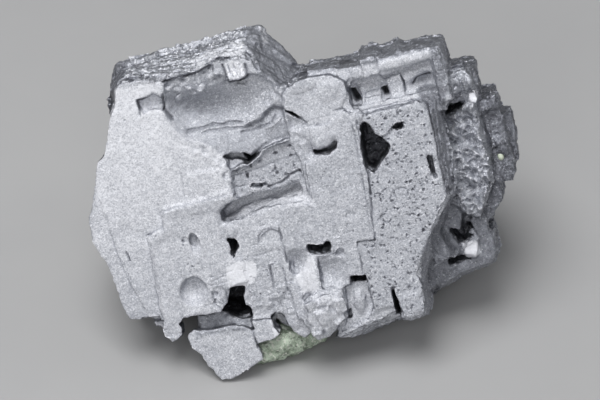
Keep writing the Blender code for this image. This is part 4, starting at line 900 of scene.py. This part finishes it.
def small_growth_marks(face):
    """Faint arches, ticks and tiny plates strewn over the middle of the face."""
    draw = random.Random(SEED)
    arches = strewn(CENTRE_PANEL, 34, (0.5, 1.2), SEED + 20) + strewn(LOWER_PANEL, 26, (0.4, 1.0), SEED + 21)
    for u, v, radius in arches:
        first = draw.uniform(0.0, 360.0)
        face.crack(arc((u, v), (radius, radius), first, first + draw.uniform(80.0, 200.0), 6), 0.2, 0.1, 0.18)
    ticks = strewn(LOWER_PANEL, 16, (0.8, 2.2), SEED + 22) + strewn(LEFT_PANEL, 30, (0.8, 2.6), SEED + 23)
    for u, v, radius in ticks:
        slope = draw.choice((0.0, math.pi / 2.0)) + draw.uniform(-0.1, 0.1)
        du, dv = radius * math.cos(slope), radius * math.sin(slope)
        face.crack(((u - du, v - dv), (u + du, v + dv)), 0.18, 0.08, 0.12)
    plates = strewn(FOOT_PANEL, 14, (0.6, 1.6), SEED + 24) + strewn(CENTRE_PANEL, 14, (0.8, 2.4), SEED + 25)
    for u, v, radius in plates:
        plate = [(u - radius, v - 0.7 * radius), (u + radius, v - 0.8 * radius)]
        plate += [(u + radius, v + 0.6 * radius), (u - 0.8 * radius, v + 0.7 * radius)]
        face.sink(plate, draw.choice((-0.12, 0.12)), 0.1)


def fold_the_bowl(face):
    """The shell-shaped break: faint flow lines round its focus, and thin folds along its foot."""
    chosen, mask = face.inside(BOWL, 0.8)
    u, v = face.u[chosen], face.v[chosen]
    far = np.hypot(u + 11.0, (v - 31.0) * 1.35)
    wave = 0.5 + 0.5 * np.sin((far + 2.4 * noise(face.places[chosen], 4.0, SEED, 2)) * 4.2)
    face.lift[chosen] -= 0.09 * mask * wave * rise(far, 3.0, 8.0)
    for line, width, height, shade_and_dirt in FOLDS:
        chosen, near = face.along(line, width)
        face.lift[chosen] += height * near
        # Painted shade along the fold.
        face.add_shade_and_dirt(chosen, shade_and_dirt * near)
    face.step(((-17.2, 26.0), (-15.0, 26.0), (-12.7, 26.7), (-9.8, 27.8)), 0.7, 1.6)


def texture_the_face(face):
    """Uneven ground all over: broad swells, and a fine grain; and the crumpled block on the right."""
    places = face.places
    ground = rise(face.out, 0.2, 0.7)
    face.lift += ground * 0.30 * (noise(places, 5.0, SEED + 3, 2) - 0.5)
    face.lift += ground * 0.26 * (noise(places, 0.7, SEED + 4, 2) - 0.5)
    for outline, amount in ROUGH:
        chosen, mask = face.inside(outline, 0.4)
        lumps = noise(places[chosen], 1.1, SEED + 15, 3) - 0.5
        face.lift[chosen] += mask * amount * lumps
        # Painted shade in the low places between the lumps.
        face.add_shade_and_dirt(chosen, mask * rise(-lumps, 0.1, 0.35) * 0.5)
    crumpled, mask = face.inside(FOIL, 0.6)
    u, v, w = places[crumpled].T
    slanting = np.stack((u + 0.8 * v, v - 0.8 * u, w), axis=1)
    wrinkle = 1.0 - np.abs(2.0 * noise(slanting, (3.4, 4.6, 5.0), SEED + 5, 3) - 1.0)
    crease = 1.0 - np.abs(2.0 * noise(slanting, (1.2, 1.8, 3.0), SEED + 6, 2) - 1.0)
    face.lift[crumpled] += mask * (1.9 * (wrinkle**2 - 0.5) + 1.4 * (crease**2 - 0.5))
    # Painted shade in the creases of the crumpled block.
    face.add_shade_and_dirt(crumpled, mask * rise(0.6 - wrinkle, 0.0, 0.3) * 0.4)


# How round the smooth surface is at its chosen points, and how wide its edge is, in millimetres.
SOFTNESS = 0.8
RESHAPED_EDGE = 0.5


def surface_through(points, u, v):
    """How far out the smooth surface through chosen points is at each place."""
    chosen = np.array(points)
    count = len(chosen)
    bends = np.ones((count + 1, count + 1))
    bends[count, count] = 0.0
    apart = chosen[:, None, :2] - chosen[None, :, :2]
    bends[:count, :count] = np.sqrt(np.sum(apart**2, axis=2) + SOFTNESS**2)
    weights = np.linalg.solve(bends, np.append(chosen[:, 2], 0.0))
    surface = np.full(len(u), weights[count])
    for (a, b, _), weight in zip(points, weights):
        surface += weight * np.sqrt((u - a) ** 2 + (v - b) ** 2 + SOFTNESS**2)
    return surface


def reshape(piece, outline, points, deepest):
    """Moves a stretch of the front to the smooth surface through chosen points."""
    places = points_of(piece)
    near = np.flatnonzero(over(places, outline, deepest))
    u, v = places[near, 0], places[near, 1]
    share = rise(from_line(u, v, rim_of(outline)), 0.0, RESHAPED_EDGE)
    places[near, 2] += share * (surface_through(points, u, v) - places[near, 2])
    put_points(piece, places)


# The broken sides

# Cleavage steps on the broken sides: the blocks' length and height, and how far they stand out.
CLEAVAGE = ((6.5, 3.2, 0.55), (2.4, 1.1, 0.4), (0.9, 0.55, 0.2))

# Stretches without such steps: the outline, how far behind the face it reaches, and how much the surface
# has to look forward there.
ANY_WAY = -2.0
UNCLEAVED = (
    (FACE_OUTLINE, -11.0, ANY_WAY),
    (TOP_BAND, -math.inf, 0.05),
    (DARK_SHOULDER, -17.0, ANY_WAY),
    (FOIL, -10.5, 0.3),
    (LOW_RIGHT, -14.0, 0.2),
    (BROKEN_FOOT, -25.0, 0.5),
)


def wear_edges(piece):
    """No edge of a natural lump is quite straight."""
    places = points_of(piece)
    free = rise(height_of(places), 0.2, 1.5)
    for axis in range(2):
        sway = 0.5 * (noise(places, 2.6, SEED + 50 + axis, 2) - 0.5)
        sway += 0.35 * (noise(places, 0.8, SEED + 60 + axis, 1) - 0.5)
        places[:, axis] += free * sway
    put_points(piece, places)


def roughen_top(piece):
    """The band along the top is rough with tiny crystals, and the dark shoulder has slanting grooves."""
    places = points_of(piece)
    facing = points_of(piece, "normal")
    u, v, w = places.T
    side = rise(facing[:, 1] + 0.6 * facing[:, 2], 0.1, 0.5) * (facing[:, 2] > 0.05)
    band = over(places, TOP_BAND) * side
    shoulder = over(places, DARK_SHOULDER, -17.0) * (facing[:, 0] > -0.3)
    grains = noise(places, (0.6, 0.45, 0.5), SEED + 12, 2) - 0.5
    layers = steps(u, v - w, 2.8, 0.9, SEED + 13)
    slanting = np.stack((u + v, u - v, w), axis=1)
    grooves = noise(slanting, (0.8, 16.0, 12.0), SEED + 14, 2) - 0.5
    groove = rise(from_line(u, v, TOP_GROOVE), 0.5, 0.1) * (facing[:, 1] > 0.0)
    lift = band * (0.6 * grains + 0.5 * layers - 0.7 * groove) + shoulder * (1.0 * grooves + 0.2 * grains)
    put_points(piece, places + facing * lift[:, None])


def cleave_sides(piece):
    """Away from the face the group is broken along its cleavage, in small square steps."""
    places = points_of(piece)
    facing = points_of(piece, "normal")
    free = rise(height_of(places), 0.1, 1.0)
    for outline, deepest, forward in UNCLEAVED:
        free[over(places, outline, deepest) & (facing[:, 2] > forward)] = 0.0
    free[(places[:, 0] > 33.0) & (facing[:, 2] > 0.5)] *= 0.3
    free[over(places, TOP_STRIP, -14.0)] *= 0.45
    axis = np.argmax(np.abs(facing), axis=1)
    for k in range(3):
        chosen = np.flatnonzero((axis == k) & (free > 0.0))
        a, b = places[chosen, (k + 1) % 3], places[chosen, (k + 2) % 3]
        if k == 1:
            a, b = b, a
        side = np.sign(facing[chosen, k])
        for scale, (length, height, amount) in enumerate(CLEAVAGE):
            seeds = SEED + 11 * k + 3 * scale + 40 * (side > 0)
            lift = steps(a, b, length, height, seeds)
            places[chosen, k] += side * free[chosen] * amount * lift
    swell = noise(places, 3.0, SEED + 7, 3) - 0.5
    places += (facing.T * (free * swell * 0.5)).T
    put_points(piece, places)


def soften_hollows(piece):
    """The shell-shaped break and the long recess are smooth."""
    places = points_of(piece)
    group = piece.vertex_groups.new(name="soft")
    for outline in (BOWL, LONG_RECESS, DRAPE, SOFT_SCOOP):
        group.add(np.flatnonzero(over(places, outline, -11.0)).tolist(), 1.0, "REPLACE")
    finished_with(piece, "SMOOTH", factor=0.6, iterations=5, vertex_group="soft")
    piece.vertex_groups.remove(piece.vertex_groups["soft"])


def hollow_map(piece):
    """How hollow the surface is at each point: 1 in a corner, -1 on an edge."""
    copy = placed("smoothed", piece.data.copy())
    finished_with(copy, "SMOOTH", factor=0.6, iterations=9)
    moved = points_of(copy) - points_of(piece)
    bpy.data.objects.remove(copy, do_unlink=True)
    return np.clip(np.sum(moved * points_of(piece, "normal"), axis=1) / 0.22, -1.0, 1.0)


# What each stretch of the face looks like: its outline, how light it is, how much it shines, and how far
# behind the face it still reaches.
STRETCHES = (
    (TERRACE_FLOOR, 0.78, 0.25, -12.0),
    (TERRACE_BAND, 0.80, 0.3, -12.0),
    (LEFT_PANEL, 0.95, 0.08, -12.0),
    (PANEL_END, 0.85, 0.08, -12.0),
    (LOWER_PANEL, 0.77, 0.1, -12.0),
    (CENTRE_PANEL, 0.72, 0.1, -12.0),
    (RIGHT_PANEL, 0.69, 0.1, -12.0),
    (ROUND_PLATE, 0.75, 0.1, -12.0),
    (SUNK_PANEL, 0.68, 0.2, -12.0),
    (FOOT_PANEL, 0.72, 0.15, -12.0),
    (BREAK, 0.70, 0.3, -12.0),
    (DRAPE, 0.62, 0.15, -12.0),
    # Painted shade: the upper left of the shell-shaped break, which turns away from the light.
    (SHADED_HOLLOW, 0.54, 0.4, -12.0),
    (LONG_RECESS, 0.80, 0.25, -12.0),
    (ROUGH_CRYSTAL, 0.82, 0.5, -12.0),
    (BLOCK_RIM, 1.2, 0.2, -12.0),
    (BROKEN_FOOT, 0.76, 0.2, -12.0),
    (LEDGE_UNDER, 0.58, 0.4, -12.0),
    (TOP_STRIP, 0.54, 0.6, -19.0),
    (FOIL, 0.66, 0.6, -12.0),
    (LOW_RIGHT, 0.42, 0.6, -19.0),
    (DARK_SHOULDER, 0.50, 0.5, -19.0),
    (TOP_BAND, 0.70, 0.8, -19.0),
    (PALE_BAND, 0.90, 0.4, -19.0),
    # Painted highlight: a bright streak down the dark shoulder.
    (SHOULDER_HIGHLIGHT, 1.0, 0.5, -19.0),
    (LEFT_BEVEL, 0.32, 0.6, -19.0),
    (RIGHT_WALL, 0.48, 0.6, -12.0),
    (RIGHT_BEVEL, 0.40, 0.6, -12.0),
    (SPARKLING_RIBS, 0.60, 0.8, -12.0),
    (FRESH_CUBE, 1.2, 0.6, -12.0),
    (FRESH_PATCH, 1.6, 0.1, -12.0),
    (FRESH_SLOPE, 1.1, 0.15, -12.0),
    # Painted highlight: a facet lit bright among the dark blocks at the lower right.
    (LIT_FACET, 1.4, 0.15, -14.0),
    (WHITE_GLINT, 1.5, 0.4, -12.0),
)

# Painted shade: the left panel is painted darker down towards its foot, where the light falls off: how light
# it is at the foot, where that is, and the change for each millimetre up.
FOOT_TONE = 0.74
FOOT_LINE = -12.0
TONE_RISE = 0.0062

# How wide the edge of a stretch's finish is, in millimetres, and which stretches fade into the next.
CRISP_EDGE = 0.3
SOFT_EDGE = 2.2
SOFT_STRETCHES = (SHADED_HOLLOW, BREAK, PANEL_END)

# Where the face is pitted, and how much.
PITTED_FINISH = ((RIGHT_PANEL, 1.0), (SUNK_PANEL, 1.0), (CENTRE_PANEL, 0.45), (FOOT_PANEL, 0.6))

# How light and shiny the broken sides are, and how much the broad face adds to each.
SIDE_TONE = 0.36
SIDE_GLOSS = 0.85
FRONT_TONE = 0.38
FRONT_GLOSS = -0.7

# How much painted shade and dirt lie in corners, how much lighter edges are, and how much painted shade
# darkens deep places.
CORNER_SHADE_AND_DIRT = 0.26
EDGE_LIGHT = 0.24
DEPTH_SHADE = 0.5


def paint_finish(piece, face):
    """Writes how light, shiny and pitted each point is, and its painted shade and dirt, for the material to
    read.
    """
    places = points_of(piece)
    facing = points_of(piece, "normal")
    hollow = hollow_map(piece)
    front = rise(facing[:, 2], 0.3, 0.7) * rise(places[:, 2], -9.0, -6.0)
    tone = SIDE_TONE + FRONT_TONE * front
    gloss = SIDE_GLOSS + FRONT_GLOSS * front
    pitted = np.zeros(len(tone))
    shade_and_dirt = np.zeros(len(tone))
    for outline, light, shine, deepest in STRETCHES:
        edge = SOFT_EDGE if outline in SOFT_STRETCHES else CRISP_EDGE
        chosen, mask = face.inside(outline, edge, deepest)
        mask = mask * rise(face.out[chosen], 0.0, 0.4)
        spots = face.spots[chosen]
        # Painted shade: the left panel darkens towards its foot.
        if outline is LEFT_PANEL:
            light = FOOT_TONE + TONE_RISE * (face.v[chosen] - FOOT_LINE)
        tone[spots] += (light - tone[spots]) * mask
        gloss[spots] += (shine - gloss[spots]) * mask
    for outline, amount in PITTED_FINISH:
        chosen, mask = face.inside(outline, 0.8)
        pitted[face.spots[chosen]] = amount * mask
    shade_and_dirt[face.spots] = face.shade_and_dirt
    # Painted shade and dirt in the hollow corners.
    shade_and_dirt = np.maximum(shade_and_dirt, CORNER_SHADE_AND_DIRT * rise(hollow, 0.3, 1.0))
    tone += EDGE_LIGHT * rise(-hollow, 0.25, 0.9) * (1.0 - shade_and_dirt)
    # Painted shade: deep places in the face are darker.
    in_face = over(places, FACE_OUTLINE) & ~over(places, BREAK)
    tone *= 1.0 - DEPTH_SHADE * in_face * rise(-places[:, 2], 4.8, 9.0) * (places[:, 1] < 30.0)
    for name, values in (("tone", tone), ("gloss", gloss), ("pitted", pitted), ("shade_and_dirt", shade_and_dirt)):
        mark = piece.data.attributes.new(name, "FLOAT", "POINT")
        mark.data.foreach_set("value", values.astype(np.float32))


def keep_in_box(piece):
    """Nothing stands out of the lump's measured size, or below the surface that it lies on."""
    put_points(piece, np.clip(points_of(piece), np.array(cad_box[0]), np.array(cad_box[1])))


def hand_over(piece, finish, node, angle=40.0):
    """Turns a finished piece back the way the lump lies, and gives it its finish and its place."""
    piece.data.transform(CRYSTAL)
    keep_in_box(piece)
    only(piece)
    bpy.ops.object.shade_smooth_by_angle(angle=math.radians(angle))
    piece.data.materials.append(finish)
    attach(piece, "root")
    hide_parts(node)


def build_galena():
    """The crystal group: its front plates, and the blocks that step back behind them."""
    fillings = [prism(*row) for row in FILLED]
    solid = node_copy("galena", "galena")
    cut_from(solid, prism(*CUT_AWAY))
    group = joined([solid] + fillings + fine_growths())
    finished_with(group, "REMESH", mode="VOXEL", voxel_size=GRAIN, adaptivity=0.0)
    for outline, points, deepest in RESHAPED:
        reshape(group, outline, points, deepest)
    finished_with(group, "REMESH", mode="VOXEL", voxel_size=GRAIN, adaptivity=0.0)
    finished_with(group, "SMOOTH", factor=0.5, iterations=2)
    soften_hollows(group)
    cleave_sides(group)
    wear_edges(group)
    roughen_top(group)
    face = Face(group)
    draw_marks(face)
    face.apply()
    paint_finish(group, face)
    finish = galena_finish()
    for name, keep_front in (("galena_front_plates", True), ("galena_rear_blocks", False)):
        half = parted(group, name, keep_front)
        thin_out(half, MOST_TRIANGLES)
        hand_over(without_specks(half), finish, "galena")
    bpy.data.objects.remove(group, do_unlink=True)


# The rock

# How much larger the pale grain is than its solid, across, up and out: rounding makes it smaller.
GRAIN_GROWTH = (1.5, 1.7, 1.5)


def pattern(kind, **settings):
    """A texture for a surface to be moved along."""
    made = bpy.data.textures.new(kind.lower(), kind)
    for name, value in settings.items():
        setattr(made, name, value)
    return made


def roughened(piece, strength, texture):
    """Moves the surface out and in along its own direction, as much as the texture says."""
    finished_with(
        piece, "DISPLACE", strength=strength, mid_level=0.5, texture=texture, texture_coords="LOCAL"
    )


def build_rock():
    """The granular green rock at the foot of the face."""
    rock = node_copy("green_matrix", "green_rock")
    finished_with(rock, "REMESH", mode="VOXEL", voxel_size=ROCK_GRAIN, adaptivity=0.0)
    roughened(rock, 1.4, pattern("CLOUDS", noise_scale=2.4, noise_depth=2))
    roughened(rock, -0.5, pattern("VORONOI", noise_scale=0.7))
    hand_over(rock, rock_finish(), "green_matrix", 50.0)


def build_grain():
    """The pale green grain on the right-hand side."""
    grain = node_copy("pale_grain", "pale_green_grain")
    places = points_of(grain)
    middle = places.mean(0)
    put_points(grain, middle + (places - middle) * GRAIN_GROWTH)
    finished_with(grain, "SUBSURF", levels=3, render_levels=3)
    roughened(grain, 0.1, pattern("CLOUDS", noise_scale=0.3))
    hand_over(grain, grain_finish(), "pale_grain", 60.0)


# Materials

class Value:
    """A shader socket that can be used in sums as a number can."""

    def __init__(self, finish, socket):
        self.finish = finish
        self.socket = socket

    def sum(self, operation, first, second):
        return self.finish.node("ShaderNodeMath", {"operation": operation}, {0: first, 1: second})

    def __add__(self, other):
        return self.sum("ADD", self, other)

    def __sub__(self, other):
        return self.sum("SUBTRACT", self, other)

    def __rsub__(self, other):
        return self.sum("SUBTRACT", other, self)

    def __mul__(self, other):
        return self.sum("MULTIPLY", self, other)

    __radd__ = __add__
    __rmul__ = __mul__


class Finish:
    """A material whose nodes are made by one method."""

    def __init__(self, name):
        self.material = bpy.data.materials.new(name)
        self.material.use_nodes = True
        self.tree = self.material.node_tree
        self.shader = self.tree.nodes["Principled BSDF"]

    def node(self, kind, settings=None, inputs=None, output=0):
        """Adds a node, sets it, feeds its inputs and gives one of its outputs."""
        made = self.tree.nodes.new(kind)
        for name, value in (settings or {}).items():
            if name == "stops":
                ramp = made.color_ramp.elements
                for i, (place, colour) in enumerate(value):
                    stop = ramp[i] if i < len(ramp) else ramp.new(place)
                    stop.position, stop.color = place, (*colour, 1.0)
            else:
                setattr(made, name, value)
        for name, value in (inputs or {}).items():
            self.feed(made.inputs[name], value)
        return Value(self, made.outputs[output])

    def feed(self, socket, value):
        if isinstance(value, Value):
            self.tree.links.new(value.socket, socket)
        elif value is not None:
            socket.default_value = (*value, 1.0) if socket.type == "RGBA" else value

    def crystal_places(self):
        """Where each point is in the crystal's frame, in millimetres."""
        turn = CRYSTAL.inverted()
        place = self.node("ShaderNodeTexCoord", output=3)
        inputs = {"Vector": place, "Location": turn.translation, "Scale": turn.to_scale()}
        inputs["Rotation"] = turn.to_euler()
        return self.node("ShaderNodeMapping", {"vector_type": "POINT"}, inputs)

    def noise(self, places, size, detail=2.0, roughness=0.5):
        return self.node(
            "ShaderNodeTexNoise",
            inputs={"Vector": places, "Scale": 1.0 / size, "Detail": detail, "Roughness": roughness},
        )

    def cells(self, places, size, output):
        inputs = {"Vector": places, "Scale": 1.0 / size}
        return self.node("ShaderNodeTexVoronoi", inputs=inputs, output=output)

    def part_of(self, colour, output=0):
        """One of a colour's three numbers."""
        return self.node("ShaderNodeSeparateColor", inputs={"Color": colour}, output=output)

    def between(self, value, low, high):
        """0 below low, 1 above high, or the other way round."""
        settings = {"interpolation_type": "SMOOTHSTEP"}
        return self.node("ShaderNodeMapRange", settings, {"Value": value, 1: low, 2: high})

    def mix(self, share, first, second, blend="MIX"):
        settings = {"data_type": "RGBA", "blend_type": blend}
        return self.node("ShaderNodeMix", settings, {0: share, 6: first, 7: second}, output=2)

    def vector(self, operation, first, second=None, scale=None):
        inputs = {0: first, 1: second}
        if scale is not None:
            inputs[3] = scale
        return self.node("ShaderNodeVectorMath", {"operation": operation}, inputs)

    def attribute(self, name):
        return self.node("ShaderNodeAttribute", {"attribute_name": name}, output=2)

    def bump(self, height, distance, normal=None):
        return self.node("ShaderNodeBump", inputs={"Height": height, "Distance": distance, "Normal": normal})

    def set(self, **inputs):
        for name, value in inputs.items():
            self.feed(self.shader.inputs[name.replace("_", " ").title()], value)


# How large the marks in the galena's surface are, in millimetres.
GRIT = 0.34
MOTTLE = 3.2
PATCH = 1.3
SPECK = 0.24
PIT = 0.62

# Lead grey from its darkest to its lightest: the place on the scale, and the colour.
LEAD_GREYS = (
    (0.0, (0.022, 0.023, 0.028)),
    (0.3, (0.17, 0.175, 0.2)),
    (0.6, (0.40, 0.415, 0.46)),
    (1.0, (0.80, 0.81, 0.855)),
)


def galena_finish():
    """Lead grey: matt and light on the broad face, darker and shining like metal where it is cleaved."""
    finish = Finish("galena")
    places = finish.crystal_places()
    tone = finish.attribute("tone")
    gloss = finish.attribute("gloss")
    pitted = finish.attribute("pitted")
    shade_and_dirt = finish.attribute("shade_and_dirt")

    grit = finish.noise(places, GRIT, 3.0, 0.75)
    mottle = finish.noise(places, MOTTLE, 4.0, 0.62)
    specks = finish.cells(places, SPECK, 1)
    chance_of = finish.part_of(specks)
    holes = finish.cells(places, PIT, 0)
    hole_chance = finish.part_of(finish.cells(places, PIT, 1), 1)
    # Painted shade in the tiny pits.
    hole = finish.between(holes, 0.36, 0.2) * finish.between(hole_chance, 0.62, 0.7) * pitted
    patches = finish.noise(places, PATCH, 4.0, 0.72)
    light = tone * (0.42 + 0.34 * mottle + 0.42 * grit + 0.4 * chance_of) + gloss * (patches - 0.5) * 0.8
    # Painted glints: the brightest specks are painted lighter, more where the surface shines.
    sparkle = finish.between(chance_of, 0.9, 1.0) * (0.1 + 0.3 * gloss)
    # Painted shade: hollows, cracks, pits and creases are darkened where shade falls in them.
    dark = 0.2 * hole + 0.3 * shade_and_dirt * tone
    level = (light + sparkle) * (1.0 - 0.75 * shade_and_dirt) - dark
    shade = finish.node("ShaderNodeValToRGB", {"stops": LEAD_GREYS}, {"Fac": level})

    facets = finish.vector("SUBTRACT", specks, (0.5, 0.5, 0.5))
    turned = finish.vector("SCALE", facets, scale=0.25 + 0.6 * gloss)
    outward = finish.node("ShaderNodeNewGeometry", output=1)
    normal = finish.vector("NORMALIZE", finish.vector("ADD", outward, turned))
    normal = finish.bump(grit - hole, 0.00016, normal)
    finish.set(
        base_color=shade,
        metallic=finish.between(gloss, 0.0, 1.2) * 0.9 + 0.1,
        roughness=0.62 - 0.3 * gloss,
        normal=normal,
    )
    return finish.material


def rock_finish():
    """Dull grey-green stone of fine grains, some of them nearly white."""
    finish = Finish("green_rock")
    places = finish.crystal_places()
    grains = finish.cells(places, 0.5, 1)
    chance_of = finish.part_of(grains)
    patches = finish.noise(places, 2.2, 4.0, 0.6)
    fine = finish.noise(places, 0.25, 3.0, 0.7)
    shade = finish.between(patches + 0.7 * (fine - 0.5), 0.3, 0.7)
    green = finish.mix(shade, (0.24, 0.30, 0.22), (0.66, 0.76, 0.62))
    pale = finish.mix(finish.between(chance_of, 0.78, 0.95), green, (0.78, 0.82, 0.72))
    dark = finish.mix(finish.between(chance_of, 0.1, 0.06) * 0.5, pale, (0.08, 0.09, 0.08))
    finish.set(base_color=dark, roughness=0.8, normal=finish.bump(fine + patches, 0.00025))
    return finish.material


def grain_finish():
    """A pale green, waxy grain."""
    finish = Finish("pale_grain")
    places = finish.crystal_places()
    cloud = finish.noise(places, 0.4, 2.0)
    finish.set(
        base_color=finish.mix(cloud, (0.50, 0.58, 0.44), (0.76, 0.80, 0.68)),
        roughness=0.42,
        normal=finish.bump(cloud, 0.00005),
    )
    return finish.material


def floor_finish():
    """A plain, pale grey floor."""
    finish = Finish("pale_floor")
    places = finish.node("ShaderNodeTexCoord", output=3)
    cloud = finish.node("ShaderNodeTexNoise", inputs={"Vector": places, "Scale": 40.0})
    finish.set(base_color=finish.mix(cloud, (0.39, 0.39, 0.395), (0.42, 0.42, 0.42)), roughness=0.9)
    return finish.material


# The stage

# The camera's height in degrees, its distance in metres, and its lens and sensor in millimetres.
VIEW_ELEVATION = 40.0
VIEW_DISTANCE = 0.455
LENS = 130.0
SENSOR_WIDTH = 36.0

# The floor's size, and each light's name, place, size and power, in metres and watts.
FLOOR_SIZE = 3.0
LIGHTS = (
    ("key", (-0.14, -0.10, 0.75), 0.46, 4.9),
    ("front", (-0.12, -0.70, 0.50), 0.5, 1.9),
    ("right", (0.7, 0.1, 0.5), 0.4, 0.4),
)
SKY = (0.55, 0.56, 0.58)
SKY_STRENGTH = 0.36


def build_stage():
    """A plain pale floor and soft studio light."""
    bpy.ops.object.select_all(action="DESELECT")
    bpy.ops.mesh.primitive_plane_add(size=FLOOR_SIZE)
    floor = bpy.context.active_object
    floor.name = "floor"
    floor.data.materials.append(floor_finish())
    for name, place, size, power in LIGHTS:
        lamp = bpy.data.lights.new(name, "AREA")
        lamp.size = size
        lamp.energy = power
        holder = placed(name, lamp)
        holder.location = place
        holder.rotation_euler = (FACE_CENTRE * MM - Vector(place)).to_track_quat("-Z", "Y").to_euler()
    world = bpy.data.worlds.new("studio")
    world.use_nodes = True
    world.node_tree.nodes["Background"].inputs["Color"].default_value = (*SKY, 1.0)
    world.node_tree.nodes["Background"].inputs["Strength"].default_value = SKY_STRENGTH
    bpy.context.scene.world = world
    bpy.context.scene.view_settings.view_transform = "Standard"


def build_camera():
    """The camera looks down on the broad face."""
    camera = placed("camera", bpy.data.cameras.new("camera"))
    camera.data.lens = LENS
    camera.data.sensor_width = SENSOR_WIDTH
    camera.data.clip_start = 0.01
    height = math.radians(VIEW_ELEVATION)
    back = Vector((0.0, -math.cos(height), math.sin(height)))
    camera.location = FACE_CENTRE * MM + back * VIEW_DISTANCE
    camera.rotation_euler = back.to_track_quat("Z", "Y").to_euler()
    bpy.context.scene.camera = camera


build_galena()
build_rock()
build_grain()
build_stage()
build_camera()
